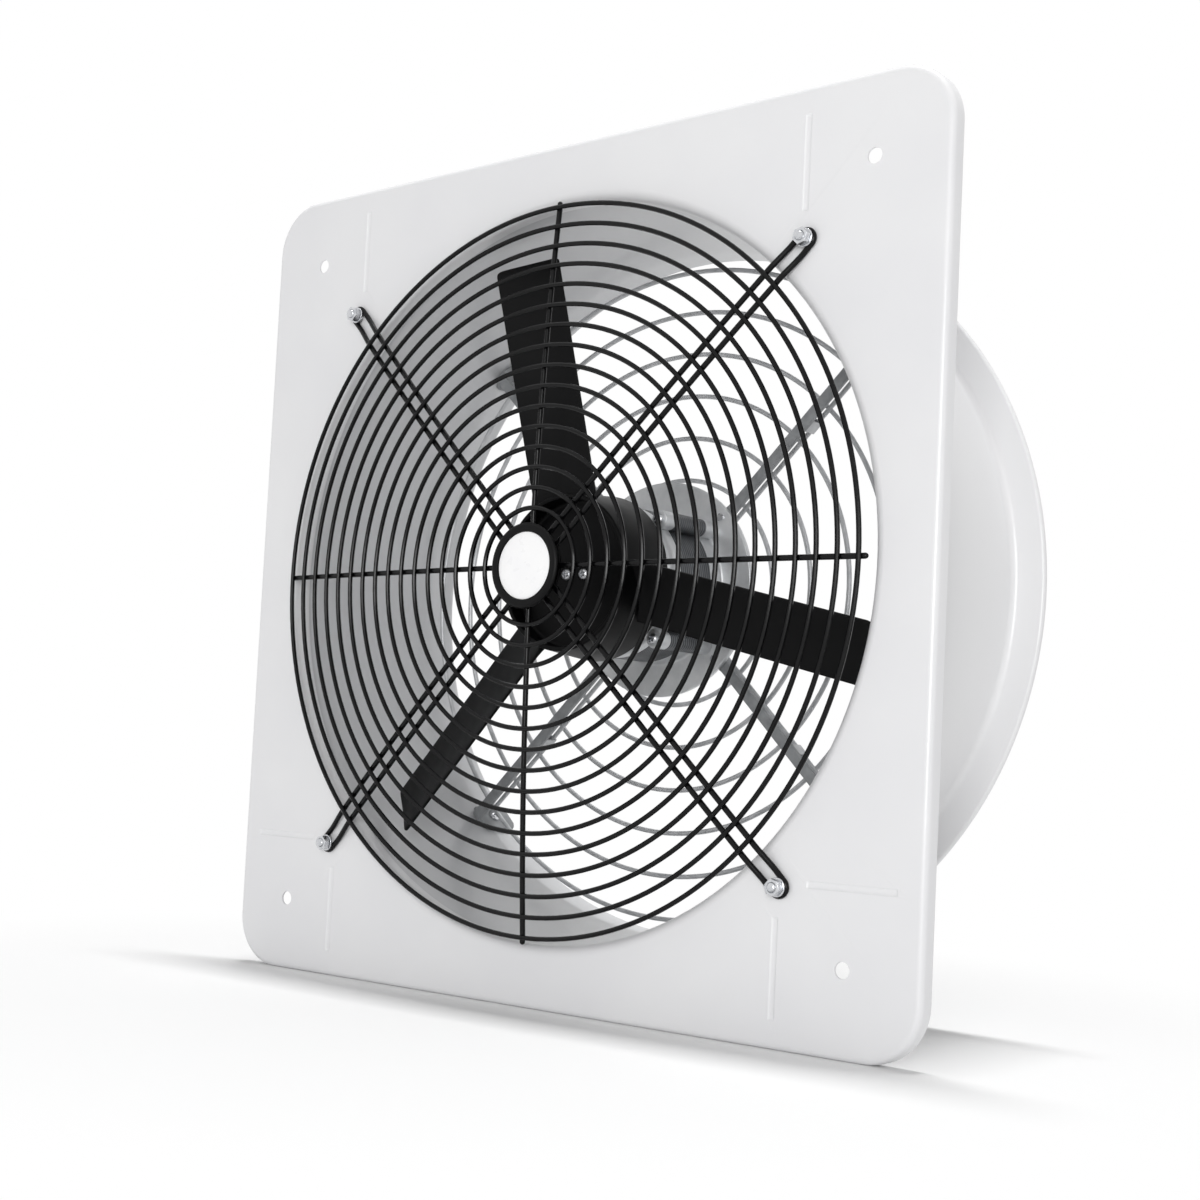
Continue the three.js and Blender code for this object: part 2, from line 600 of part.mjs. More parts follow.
const bushBody = turned([
  [0, bushFront],
  [BUSH_RADIUS, bushFront],
  [BUSH_RADIUS, bushRear],
  [SHAFT_RADIUS + GAP, bushRear],
  [SHAFT_RADIUS + GAP, bushFloor],
  [0, bushFloor],
], 16);
piece("hub_bush", combine(bushBody, { cut: hubScrewHoles }), castAluminium);
const hubScrew = panScrew(webFront - GAP, bushFloor, M4);
[0, 180].forEach((angle, i) => {
  piece(`hub_screw_${i + 1}`, placedAt(hubScrew, HUB_SCREW_CIRCLE, angle), zinc);
});

// ---------------------------------------------------------------- motor
const COVER_EDGE = 4; // the front cover's chamfer
const boreRadius = SHAFT_RADIUS + 1.5; // where the shaft passes through the front cover
const bearingSeat = BEARING_RADIUS + GAP;
const bossRadius = bearingSeat + BEARING_BOSS_WALL;
const bearingDepth = BEARING_WIDTH + GAP;

// A cover as a cup: its end wall is at y = 0 and it opens towards +Y, with a bearing seat inside. The end
// wall is pierced where the shaft passes.
const coverCup = (shaftHole, edge) => turned([
  [shaftHole, 0],
  [MOTOR_RADIUS - edge - 0.1, 0],
  [MOTOR_RADIUS, edge + 0.1],
  [MOTOR_RADIUS, COVER_DEPTH],
  [MOTOR_RADIUS - COVER_WALL, COVER_DEPTH],
  [MOTOR_RADIUS - COVER_WALL, 5],
  [MOTOR_RADIUS - 5, COVER_WALL],
  [bossRadius, COVER_WALL],
  [bossRadius, COVER_WALL + bearingDepth],
  [bearingSeat, COVER_WALL + bearingDepth],
  [bearingSeat, COVER_WALL],
  [shaftHole, COVER_WALL],
], 24);

// Four ears on the wall carry the bolts that hold the covers and the core together.
const EAR_START = 4;
const atBolts = (geometry) => CORNER_ANGLES.map((angle) => placedAt(geometry, BOLT_CIRCLE, angle));
const earsFrom = (y) => atBolts(cylinder(EAR_RADIUS, y, COVER_DEPTH, 8));
const boltTools = atBolts(cylinder(M4.hole, -2, COVER_DEPTH + 2, 8));

function frontCover() {
  const cover = combine(coverCup(boreRadius, COVER_EDGE), { add: earsFrom(EAR_START), cut: boltTools });
  return cover.translate(0, MOTOR_FRONT, 0);
}

// The rear cover is the same cup turned round, with a flange for the arms and a hole for the lead.
function rearCover() {
  const flange = tube(MOTOR_RADIUS - 2, FLANGE_RADIUS, 0, FLANGE_THICKNESS, 32);
  const tap = cylinder(M5.hole, -1, FLANGE_THICKNESS + 1, 8);
  const taps = CORNER_ANGLES.map((a) => placedAt(tap, FLANGE_SCREW_CIRCLE, a));
  const leadHole = placedAt(cylinder(GROMMET_RADIUS + GAP, -1, COVER_WALL + 1, 10), GROMMET_OFFSET, 90);
  const cup = coverCup(SHAFT_RADIUS + 0.8, 0);
  const cover = combine(cup, { add: [flange, ...earsFrom(1)], cut: [...boltTools, ...taps, leadHole] });
  return cover.rotateX(Math.PI).translate(0, MOTOR_REAR, 0);
}

piece("motor_front_cover", frontCover(), castAluminium);
piece("motor_rear_cover", rearCover(), castAluminium);

const coreRear = CORE_FRONT + CORE_LENGTH;
const coreEar = cylinder(EAR_RADIUS, CORE_FRONT, coreRear, 8);
const coreTool = cylinder(M4.hole, CORE_FRONT - 1, coreRear + 1, 8);
piece("stator_core", combine(tube(CORE_BORE, MOTOR_RADIUS, CORE_FRONT, coreRear, 24), {
  add: atBolts(coreEar),
  cut: atBolts(coreTool),
}), laminations);

// The end turns stand out of the core towards each cover, inside the cover's wall and clear of the bearing.
const WINDING_DEPTH = 7;
const windingInner = CORE_BORE + 1;
const windingOuter = MOTOR_RADIUS - COVER_WALL - 1.5;
const windingProfile = (y0, y1) => turned([
  [windingInner, y0],
  [windingInner + 1.5, y1],
  [windingOuter - 1.5, y1],
  [windingOuter, y0],
], 16);
piece("winding_front", windingProfile(CORE_FRONT - GAP, CORE_FRONT - GAP - WINDING_DEPTH), copper);
piece("winding_rear", windingProfile(coreRear + GAP, coreRear + GAP + WINDING_DEPTH), copper);

// A bolt's head is in front of the front cover's ear, and its tail stands out behind the arm.
const BOLT_TAIL = 3.4;
const motorBolt = panScrew(MOTOR_FRONT + EAR_START - GAP, ARM_REAR + BOLT_TAIL, M4);
atBolts(motorBolt).forEach((bolt, i) => piece(`motor_bolt_${i + 1}`, bolt, zinc));

piece("motor_shaft", cylinder(SHAFT_RADIUS, bushFloor + GAP, MOTOR_REAR - 1, 16), steel);
const rotorInner = SHAFT_RADIUS + GAP;
const rotorFront = CORE_MIDDLE - ROTOR_LENGTH / 2;
piece("motor_rotor", tube(rotorInner, ROTOR_RADIUS, rotorFront, rotorFront + ROTOR_LENGTH, 24), steel);
const bearing = (y) => tube(SHAFT_RADIUS + GAP, BEARING_RADIUS, y, y + BEARING_WIDTH, 16);
const bearingInset = COVER_WALL + GAP;
piece("front_bearing", bearing(MOTOR_FRONT + bearingInset), steel);
piece("rear_bearing", bearing(MOTOR_REAR - bearingInset - BEARING_WIDTH), steel);

const grommetWall = [MOTOR_REAR - COVER_WALL - GAP, MOTOR_REAR + GAP];
const grommet = turned([
  [GROMMET_RADIUS - 2, grommetWall[0] - 1.5],
  [GROMMET_RADIUS + 2, grommetWall[0] - 1.5],
  [GROMMET_RADIUS + 2, grommetWall[0]],
  [GROMMET_RADIUS, grommetWall[0]],
  [GROMMET_RADIUS, grommetWall[1]],
  [GROMMET_RADIUS + 2, grommetWall[1]],
  [GROMMET_RADIUS + 2, grommetWall[1] + 2],
  [GROMMET_RADIUS - 2, grommetWall[1] + 2],
], 10);
piece("lead_grommet", placedAt(grommet, GROMMET_OFFSET, 270), rubber);

// ---------------------------------------------------------------- arms, with their feet on the duct
function arm(degrees) {
  const padEnds = [BOLT_CIRCLE - PAD_MARGIN, FLANGE_SCREW_CIRCLE + PAD_MARGIN];
  const pad = box(...padEnds, ARM_FRONT, ARM_REAR, -PAD_WIDTH / 2, PAD_WIDTH / 2);
  const bar = box(padEnds[0], footFace, ARM_FRONT, ARM_REAR, -ARM_WIDTH / 2, ARM_WIDTH / 2);
  const footInner = footFace - ARM_THICKNESS;
  const foot = box(footInner, footFace, ARM_FRONT, FOOT_REAR, -FOOT_WIDTH / 2, FOOT_WIDTH / 2);
  const screwTool = placedAt(cylinder(M5.hole, ARM_FRONT - 1, ARM_REAR + 1, 8), FLANGE_SCREW_CIRCLE, 0);
  const boltTool = placedAt(cylinder(M4.hole, ARM_FRONT - 1, ARM_REAR + 1, 8), BOLT_CIRCLE, 0);
  const footTool = cylinder(M4.hole, footInner - 1, footFace + 1, 8).rotateZ(-Math.PI / 2);
  footTool.translate(0, footScrewY, 0);
  return turnedTo(combine(bar, { add: [pad, foot], cut: [screwTool, boltTool, footTool] }), degrees);
}

// A foot's screw goes out through the duct, with its head inside.
const footScrew = panScrew(footFace - ARM_THICKNESS - GAP, DUCT_OUTER + 2.5, M4);
footScrew.rotateZ(-Math.PI / 2).translate(0, footScrewY, 0);
const armScrew = panScrew(ARM_REAR + GAP, MOTOR_REAR - FLANGE_THICKNESS - 1, M5);
CORNER_ANGLES.forEach((angle, i) => {
  piece(`arm_${i + 1}`, arm(angle), armPaint);
  piece(`arm_screw_${i + 1}`, placedAt(armScrew, FLANGE_SCREW_CIRCLE, angle), zinc);
  piece(`foot_screw_${i + 1}`, turnedTo(footScrew, angle), zinc);
});

// ---------------------------------------------------------------- rear guard behind the arms, and its clips
const rearSpokeY = ARM_REAR + REAR_STANDOFF + REAR_SQUARE / 2;
const rearRingY = rearSpokeY + REAR_SQUARE - WELD;

function rearGuard() {
  const rings = Array.from({ length: REAR_RING_COUNT }, (_, k) =>
    wireRing(REAR_RING_FIRST + REAR_RING_PITCH * k, rearRingY, REAR_SQUARE));
  const spokes = CORNER_ANGLES.map((a) => {
    const ends = [REAR_RING_FIRST - 3, REAR_RING_LAST + 3];
    return turnedTo(wire(ends.map((r) => new THREE.Vector3(r, rearSpokeY, 0)), REAR_SQUARE), a);
  });
  return combine(rings[0], { add: [...rings.slice(1), ...spokes] });
}

piece("rear_guard", rearGuard(), rearWirePaint);

// A clip is a small saddle on the arm with the guard's spoke in its groove.
const clipGroove = REAR_SQUARE / 2 + GAP;
const clipTop = rearSpokeY + REAR_SQUARE / 2 + GAP + CLIP_WALL;
const clipCircle = REAR_RING_FIRST + REAR_RING_PITCH * (CLIP_AFTER_RING - 0.5);
const clipBody = box(
  clipCircle - CLIP_LENGTH / 2, clipCircle + CLIP_LENGTH / 2, ARM_REAR + GAP, clipTop,
  -clipGroove - CLIP_WALL, clipGroove + CLIP_WALL,
);
const clipTool = box(
  clipCircle - CLIP_LENGTH, clipCircle + CLIP_LENGTH, rearSpokeY - clipGroove, rearSpokeY + clipGroove,
  -clipGroove, clipGroove,
);
const clip = combine(clipBody, { cut: [clipTool] });
CORNER_ANGLES.forEach((angle, i) => piece(`guard_clip_${i + 1}`, turnedTo(clip, angle), rearWirePaint));

export default fan;
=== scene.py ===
# %% [markdown]
# # A window exhaust fan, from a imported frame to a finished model
# The frame is the measured model: every node is in its real place, but its surfaces are coarse. This lesson
# keeps the places and makes each surface again, fine enough to look at. Shapes are written as formulas over
# whole numpy arrays: a profile turned round the fan's axis, or a section carried along a path.
# Lengths are in millimetres until the last moment, when one function turns them into metres.

import math

import bmesh
import bpy
import numpy as np
from mathutils import Matrix, Vector


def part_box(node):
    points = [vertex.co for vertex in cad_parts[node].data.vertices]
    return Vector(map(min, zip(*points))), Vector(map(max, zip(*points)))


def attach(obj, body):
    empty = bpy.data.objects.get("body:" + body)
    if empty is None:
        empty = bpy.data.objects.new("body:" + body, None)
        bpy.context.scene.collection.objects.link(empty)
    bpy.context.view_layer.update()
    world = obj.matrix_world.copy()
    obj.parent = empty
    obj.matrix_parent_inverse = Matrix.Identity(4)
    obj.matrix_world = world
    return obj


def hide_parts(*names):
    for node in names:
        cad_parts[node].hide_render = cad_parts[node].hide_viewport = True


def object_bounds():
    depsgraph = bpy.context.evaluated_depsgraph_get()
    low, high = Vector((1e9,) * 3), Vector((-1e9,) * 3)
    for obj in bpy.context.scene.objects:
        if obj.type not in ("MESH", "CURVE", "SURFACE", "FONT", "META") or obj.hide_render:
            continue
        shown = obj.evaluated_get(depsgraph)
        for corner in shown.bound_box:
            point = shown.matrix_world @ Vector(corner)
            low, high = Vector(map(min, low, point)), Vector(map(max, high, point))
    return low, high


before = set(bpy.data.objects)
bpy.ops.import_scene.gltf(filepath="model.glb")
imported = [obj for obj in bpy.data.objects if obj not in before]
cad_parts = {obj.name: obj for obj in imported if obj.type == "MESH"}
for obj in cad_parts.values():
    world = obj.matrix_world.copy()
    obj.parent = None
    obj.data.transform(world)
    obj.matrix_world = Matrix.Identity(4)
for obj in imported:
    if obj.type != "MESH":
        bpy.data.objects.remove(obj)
frame_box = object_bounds()

# %% [markdown]
# ## The camera
# The photograph was matched by fitting a camera to the panel's corners, its four mounting holes and the
# guard's rings. The fit gives the place, three angles, the focal length in pixels and the middle of the lens
# in the picture. The middle lies a little off the picture's centre, and the camera's shift repeats that.

# %% Place the camera
IMAGE_SIDE = 1200
FOCAL_PIXELS = 1771.6
LENS_MIDDLE_PIXELS = (590.1, 653.6)
SENSOR_MM = 36
CAMERA_PLACE = Vector((0.6616, -0.7768, -0.1080))
YAW, PITCH, ROLL = (math.radians(degrees) for degrees in (39.25, -3.44, 2.84))


def camera_axes(yaw, pitch, roll):
    """Right, up and back: the level view direction turned by yaw, raised by -pitch, rolled about itself."""
    forward = Vector((
        -math.sin(yaw) * math.cos(pitch), math.cos(yaw) * math.cos(pitch), -math.sin(pitch),
    ))
    level = Vector((math.cos(yaw), math.sin(yaw), 0))
    above = level.cross(forward)
    right = math.cos(roll) * level + math.sin(roll) * above
    up = -math.sin(roll) * level + math.cos(roll) * above
    return right, up, -forward


camera_data = bpy.data.cameras.new("camera")
camera_data.sensor_width = SENSOR_MM
camera_data.sensor_fit = "HORIZONTAL"
camera_data.lens = SENSOR_MM * FOCAL_PIXELS / IMAGE_SIDE
camera_data.shift_x = (IMAGE_SIDE / 2 - LENS_MIDDLE_PIXELS[0]) / IMAGE_SIDE
camera_data.shift_y = (LENS_MIDDLE_PIXELS[1] - IMAGE_SIDE / 2) / IMAGE_SIDE
camera_data.clip_start = 0.01
camera = bpy.data.objects.new("camera", camera_data)
bpy.context.scene.collection.objects.link(camera)
camera_turn = Matrix(camera_axes(YAW, PITCH, ROLL)).transposed().to_4x4()
camera.matrix_world = Matrix.Translation(CAMERA_PLACE) @ camera_turn
bpy.context.scene.camera = camera
print(f"camera: {camera_data.lens:.1f} mm lens")

# %% [markdown]
# ## Adding nodes and colours
# Every material below is a small graph of nodes. One function adds a node, sets its properties and fills its
# inputs; an input that is given another node's output is linked to it. Colours are written as the sRGB hex
# values that a colour picker shows, and one function turns them to the linear values that the renderer wants.

# %% Two small tools for materials
def linear(hex_text):
    """sRGB to linear: c / 12.92 up to 0.04045, and ((c + 0.055) / 1.055) to the power 2.4 above it."""
    srgb = np.array([int(hex_text[i:i + 2], 16) for i in (1, 3, 5)]) / 255
    values = np.where(srgb <= 0.04045, srgb / 12.92, ((srgb + 0.055) / 1.055) ** 2.4)
    return (*values.tolist(), 1.0)


def add_node(tree, kind, inputs=None, **settings):
    """Adds one node with its settings. An input is a value, or another node's output to link."""
    node = tree.nodes.new(kind)
    for name, value in settings.items():
        setattr(node, name, value)
    for name, value in (inputs or {}).items():
        if isinstance(value, bpy.types.NodeSocket):
            tree.links.new(value, node.inputs[name])
        else:
            node.inputs[name].default_value = value
    return node


WHITE = linear("#ffffff")
print("middle grey in linear light:", round(linear("#808080")[0], 3))

# %% [markdown]
# ## Stage, world and lamps
# The fan stands on a white studio floor. To the camera, and to shiny surfaces, the world is plain white; as a
# light it is weaker, so that white paint keeps its shading.

# %% The world
CAMERA_WHITE = 1.0
AMBIENT_STRENGTH = 0.41


def seen_directly(tree):
    """1 for camera, glossy and transmission rays, and 0 for the rays that only carry light."""
    path = add_node(tree, "ShaderNodeLightPath")
    first = add_node(tree, "ShaderNodeMath", {
        0: path.outputs["Is Camera Ray"], 1: path.outputs["Is Glossy Ray"],
    }, operation="MAXIMUM")
    both = add_node(tree, "ShaderNodeMath", {
        0: first.outputs[0], 1: path.outputs["Is Transmission Ray"],
    }, operation="MAXIMUM")
    return both.outputs[0]


world = bpy.data.worlds.new("studio")
bpy.context.scene.world = world
world.use_nodes = True
world.node_tree.nodes.clear()
strength = add_node(world.node_tree, "ShaderNodeMapRange", {
    "Value": seen_directly(world.node_tree), "To Min": AMBIENT_STRENGTH, "To Max": CAMERA_WHITE,
})
background = add_node(world.node_tree, "ShaderNodeBackground", {
    "Color": WHITE, "Strength": strength.outputs[0],
})
add_node(world.node_tree, "ShaderNodeOutputWorld", {"Surface": background.outputs[0]})
bpy.context.scene.view_settings.view_transform = "Standard"
print("ambient strength", AMBIENT_STRENGTH)

# %% [markdown]
# The floor has two jobs. As a surface it bounces light like white paper. As a backdrop it should look as
# white as the world, with nothing darker than that but the shadow. So the rays that see it directly get a
# stronger reflectance, which lifts its open parts to white and keeps the shadow's contrast, and with distance
# the floor fades into the world's own white.

# %% The floor's material
FLOOR_TONE = 0.8
FLOOR_TONE_SEEN = 0.94
FADE_START, FADE_END = 0.37, 0.62  # metres from the middle of the fan

floor_material = bpy.data.materials.new("white_studio_floor")
floor_material.use_nodes = True
floor_tree = floor_material.node_tree
floor_tree.nodes.clear()
seen = seen_directly(floor_tree)
floor_tone = add_node(floor_tree, "ShaderNodeMapRange", {
    "Value": seen, "To Min": FLOOR_TONE, "To Max": FLOOR_TONE_SEEN,
})
floor_surface = add_node(floor_tree, "ShaderNodeBsdfDiffuse", {"Color": floor_tone.outputs[0]})
floor_glow = add_node(floor_tree, "ShaderNodeEmission", {"Color": WHITE, "Strength": CAMERA_WHITE})
floor_place = add_node(floor_tree, "ShaderNodeTexCoord")
from_fan = add_node(floor_tree, "ShaderNodeVectorMath", {
    0: floor_place.outputs["Object"],
}, operation="LENGTH")
fade = add_node(floor_tree, "ShaderNodeMapRange", {
    "Value": from_fan.outputs["Value"], "From Min": FADE_START, "From Max": FADE_END,
}, interpolation_type="SMOOTHSTEP")
glow_share = add_node(floor_tree, "ShaderNodeMath", {0: seen, 1: fade.outputs[0]}, operation="MULTIPLY")
floor_mix = add_node(floor_tree, "ShaderNodeMixShader", {
    "Fac": glow_share.outputs[0], 1: floor_surface.outputs[0], 2: floor_glow.outputs[0],
})
add_node(floor_tree, "ShaderNodeOutputMaterial", {"Surface": floor_mix.outputs[0]})
print("floor fades from", FADE_START, "to", FADE_END, "m")

# %% [markdown]
# The floor itself is one large square that touches the lowest point of the frame's box, so the panel's edge
# meets its own shadow. One face is enough, because all that varies on it is in its material.

# %% The floor
FLOOR_Z = frame_box[0].z
FLOOR_REACH = 30.0

floor_mesh = bpy.data.meshes.new("studio_floor")
floor_corners = [(x * FLOOR_REACH, y * FLOOR_REACH, FLOOR_Z) for x, y in ((-1, -1), (1, -1), (1, 1), (-1, 1))]
floor_mesh.from_pydata(floor_corners, [], [(0, 1, 2, 3)])
floor_mesh.materials.append(floor_material)
floor = bpy.data.objects.new("studio_floor", floor_mesh)
bpy.context.scene.collection.objects.link(floor)
print(f"floor at z = {FLOOR_Z:.4f} m")

# %% [markdown]
# A strip lamp hangs far overhead, a little behind the panel's plane. On the floor in front of the panel it is
# half hidden, and that draws the soft shadow that fades out a hand's width away. It hangs high so that the
# top of the duct gets only a little more of it than the floor does. A square lamp in front, well to the
# right, lights the face, and reaches the right-hand bends and the walls of the pressed grooves more squarely,
# so they show as light lines.

# %% The lamps
def soft_lamp(name, place, target, size, power):
    """An area lamp: its width and depth in metres and its power in watts, at a place and facing a target."""
    data = bpy.data.lights.new(name, "AREA")
    data.shape = "RECTANGLE"
    data.size, data.size_y = size
    data.energy = power
    lamp = bpy.data.objects.new(name, data)
    lamp.location = place
    lamp.rotation_euler = (Vector(target) - Vector(place)).to_track_quat("-Z", "Y").to_euler()
    bpy.context.scene.collection.objects.link(lamp)
    print(f"{name}: {power} W")


soft_lamp("overhead_lamp", place=(0.0, 0.5, 6.0), target=(0.0, 0.0, -0.25), size=(2.2, 0.6), power=220)
soft_lamp("front_lamp", place=(1.45, -2.4, 0.3), target=(0.0, 0.0, 0.0), size=(1.0, 1.0), power=33.5)

# %% [markdown]
# ## Surfaces from arrays
# A grid of points becomes a surface by joining each point to its neighbours. Each row is a closed loop, the
# last row can be joined to the first, and a row whose points all lie in one place becomes a pole when doubles
# are merged. The sign of the enclosed volume says whether the faces point out, so a grid never needs to be
# drawn in a particular direction. The same shapes could be modelled by hand, but a formula is worked out
# again when a size changes.

# %% From grids to shells
MM = 0.001


def shell(grid, close_rows=False):
    """(points, faces) of a grid shaped (rows, columns, 3), wound so that the enclosed volume is positive."""
    rows, columns = grid.shape[:2]
    index = np.arange(rows * columns).reshape(rows, columns)
    index = np.hstack([index, index[:, :1]])
    if close_rows:
        index = np.vstack([index, index[:1]])
    corners = [index[:-1, :-1], index[:-1, 1:], index[1:, 1:], index[1:, :-1]]
    faces = np.stack(corners, axis=-1).reshape(-1, 4)
    points = grid.reshape(-1, 3)
    a, b, c, d = (points[faces[:, k]] for k in range(4))
    volume = np.einsum("ij,ij->", a, np.cross(b, c)) + np.einsum("ij,ij->", a, np.cross(c, d))
    return points, faces if volume > 0 else faces[:, ::-1]


def centre_of(row):
    """A grid row whose points all lie at another row's middle: it closes a shell's end."""
    return (row.mean(axis=0, keepdims=True) * np.ones_like(row))[None]


def end_capped(grid):
    """A shell whose first and last rows are each closed to a point at their middle."""
    return shell(np.concatenate([centre_of(grid[0]), grid, centre_of(grid[-1])]))


def joined(shells):
    """One set of points and faces from several."""
    counts = np.cumsum([0] + [len(points) for points, _ in shells])
    points = np.concatenate([points for points, _ in shells])
    faces = np.concatenate([faces + start for (_, faces), start in zip(shells, counts)])
    return points, faces


def turned_to(shells, degrees):
    """Shells made on the +X side, turned about the Y axis from +X towards +Z."""
    a = math.radians(degrees)
    turn = np.array([[math.cos(a), 0, math.sin(a)], [0, 1, 0], [-math.sin(a), 0, math.cos(a)]])
    return [(points @ turn, faces) for points, faces in shells]


def moved(shells, x=0, y=0, z=0):
    """Shells moved by a distance in millimetres."""
    return [(points + np.array([x, y, z]), faces) for points, faces in shells]


print("shells can be joined, turned and moved")

# %% [markdown]
# A piece is a mesh that rides on one of the frame's bodies and stands for the CAD nodes that it replaces. Its
# points are put in as one array. Poles and seams are then merged, and edges that turn by more than a set
# angle are marked sharp, so the rest can be shaded smoothly.

# %% From shells to a piece
SHARP_ANGLE = math.radians(32)
MERGE_DISTANCE, DEGENERATE_DISTANCE = 0.002 * MM, 0.001 * MM


def merge_doubles(mesh):
    """Closes the poles and seams, then marks the edges sharper than SHARP_ANGLE."""
    work = bmesh.new()
    work.from_mesh(mesh)
    bmesh.ops.remove_doubles(work, verts=work.verts, dist=MERGE_DISTANCE)
    bmesh.ops.dissolve_degenerate(work, dist=DEGENERATE_DISTANCE, edges=work.edges)
    work.to_mesh(mesh)
    work.free()
    mesh.polygons.foreach_set("use_smooth", np.ones(len(mesh.polygons), dtype=bool))
    mesh.set_sharp_from_angle(angle=SHARP_ANGLE)


def piece(name, shells, material, body, replaces=()):
    """A Blender object from shells in millimetres, riding on a body and standing for CAD nodes."""
    points, faces = joined(shells)
    mesh = bpy.data.meshes.new(name)
    mesh.vertices.add(len(points))
    mesh.vertices.foreach_set("co", (points * MM).astype(np.float32).ravel())
    mesh.loops.add(faces.size)
    mesh.loops.foreach_set("vertex_index", faces.astype(np.int32).ravel())
    mesh.polygons.add(len(faces))
    mesh.polygons.foreach_set("loop_start", np.arange(0, faces.size, 4, dtype=np.int32))
    mesh.update(calc_edges=True)
    mesh.validate()
    merge_doubles(mesh)
    mesh.materials.append(material)
    thing = bpy.data.objects.new(name, mesh)
    bpy.context.scene.collection.objects.link(thing)
    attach(thing, body)
    if replaces:
        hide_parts(*replaces)
    print(f"{name}: {len(mesh.polygons)} faces")
    return thing


print("edges sharper than", round(math.degrees(SHARP_ANGLE)), "degrees stay sharp")

# %% [markdown]
# ## Profiles and turned pieces
# Real edges are never quite sharp: a sheet is bent over a radius and a casting has fillets. A profile is
# therefore a list of corners, each with its own rounding radius, and turned pieces carry such a profile round
# the Y axis, as a lathe does. A Bevel modifier could round the edges too, but all of them by one width.

# %% Rounded profiles and the lathe
def rounded(corners, closed=True, steps=6):
    """A profile from (x, y, radius) corners: each corner becomes an arc tangent to both its sides."""
    corners = np.array(corners, float)
    count = len(corners)
    out = []
    for i, (x, y, radius) in enumerate(corners):
        here = np.array([x, y])
        if radius == 0 or (not closed and i in (0, count - 1)):
            out.append(here[None])
            continue
        to_last = corners[i - 1, :2] - here
        to_next = corners[(i + 1) % count, :2] - here
        last_length, next_length = np.linalg.norm(to_last), np.linalg.norm(to_next)
        to_last, to_next = to_last / last_length, to_next / next_length
        half = math.acos(np.clip(to_last @ to_next, -1, 1)) / 2
        radius = min(radius, 0.49 * min(last_length, next_length) * math.tan(half))
        centre = here + (to_last + to_next) / np.linalg.norm(to_last + to_next) * radius / math.sin(half)
        start = here + to_last * radius / math.tan(half) - centre
        end = here + to_next * radius / math.tan(half) - centre
        t = np.linspace(0, 1, steps + 1)[:, None]
        sweep = math.pi - 2 * half
        out.append(centre + (np.sin((1 - t) * sweep) * start + np.sin(t * sweep) * end) / math.sin(sweep))
    return np.concatenate(out)


def turned(profile, segments):
    """The profile's (radius, y) points carried round the Y axis: (r cos a, y, r sin a)."""
    profile = np.asarray(profile, float)
    a = np.linspace(0, 2 * math.pi, segments, endpoint=False)[None]
    r, y = profile[:, :1], profile[:, 1:2]
    grid = np.stack([r * np.cos(a), y + 0 * a, r * np.sin(a)], axis=-1)
    on_axis = profile[0, 0] < 1e-6
    return [shell(grid, close_rows=not on_axis)]


def lathe(corners, segments, closed=True, steps=6):
    """(radius, y, rounding) corners turned round the Y axis. An open profile starts and ends on the axis."""
    return turned(rounded(corners, closed, steps), segments)


print("a rounded square has", len(rounded([(0, 0, 1), (9, 0, 1), (9, 9, 1), (0, 9, 1)])), "points")

# %% [markdown]
# Wires carry a circle along a path. The two directions across the path come from its own direction and the Y
# axis, because every wire here runs square to that axis or nearly so. A guard's wire ends are cut and
# tumbled, so an open wire closes in a quarter-round cap, which a curve with a bevel depth wouldn't give.

# %% Wires
def path_frame(path, closed):
    """The path's direction, and the two directions across it, the first of them square to the Y axis."""
    if closed:
        along = np.roll(path, -1, axis=0) - np.roll(path, 1, axis=0)
    else:
        along = np.gradient(path, axis=0)
    along = along / np.linalg.norm(along, axis=1, keepdims=True)
    side = np.cross(along, [0, -1, 0])
    side = side / np.linalg.norm(side, axis=1, keepdims=True)
    return along, side, np.cross(side, along)


def wire(path, radius, sides=12, closed=False, cap_steps=3):
    """A round wire: path + radius (cos v side + sin v up). Open ends are closed by a quarter-round cap."""
    along, side, up = path_frame(path, closed)
    radii = np.full(len(path), float(radius))
    if not closed:
        phi = np.linspace(math.pi / 2, 0, cap_steps, endpoint=False)
        head = path[0] - along[0] * radius * np.sin(phi)[:, None]
        tail = (path[-1] + along[-1] * radius * np.sin(phi)[:, None])[::-1]
        path = np.concatenate([head, path, tail])
        repeat = [cap_steps + 1] + [1] * (len(side) - 2) + [cap_steps + 1]
        side, up = np.repeat(side, repeat, axis=0), np.repeat(up, repeat, axis=0)
        radii = np.concatenate([radius * np.cos(phi), radii, (radius * np.cos(phi))[::-1]])
    v = np.linspace(0, 2 * math.pi, sides, endpoint=False)[None, :, None]
    grid = path[:, None] + radii[:, None, None] * (np.cos(v) * side[:, None] + np.sin(v) * up[:, None])
    return [shell(grid, close_rows=closed)]


def wire_ring(radius, y, wire_radius, segments, sides=10):
    """A closed wire on the circle (R cos a, y, R sin a)."""
    a = np.linspace(0, 2 * math.pi, segments, endpoint=False)
    path = np.stack([radius * np.cos(a), np.full_like(a, y), radius * np.sin(a)], axis=-1)
    return wire(path, wire_radius, sides, closed=True)


def smoothstep(t):
    """3 t^2 - 2 t^3 between 0 and 1, flat outside."""
    t = np.clip(t, 0, 1)
    return t * t * (3 - 2 * t)


print("a ring of 60 steps has", len(wire_ring(30, 0, 1, 60)[0][1]), "faces")

# %% [markdown]
# ## Finishes
# No real surface is even. Its colour, its gloss and its relief each wander over a distance that comes from
# how it was made. So every finish here is the same small graph: three patterns on object coordinates drive
# the colour, the roughness and a bump, and whatever is the same all over is set on the shader itself.

# %% One graph for every finish
NOISE_LOW, NOISE_HIGH = 0.3, 0.7  # the range in which most of a noise's values lie


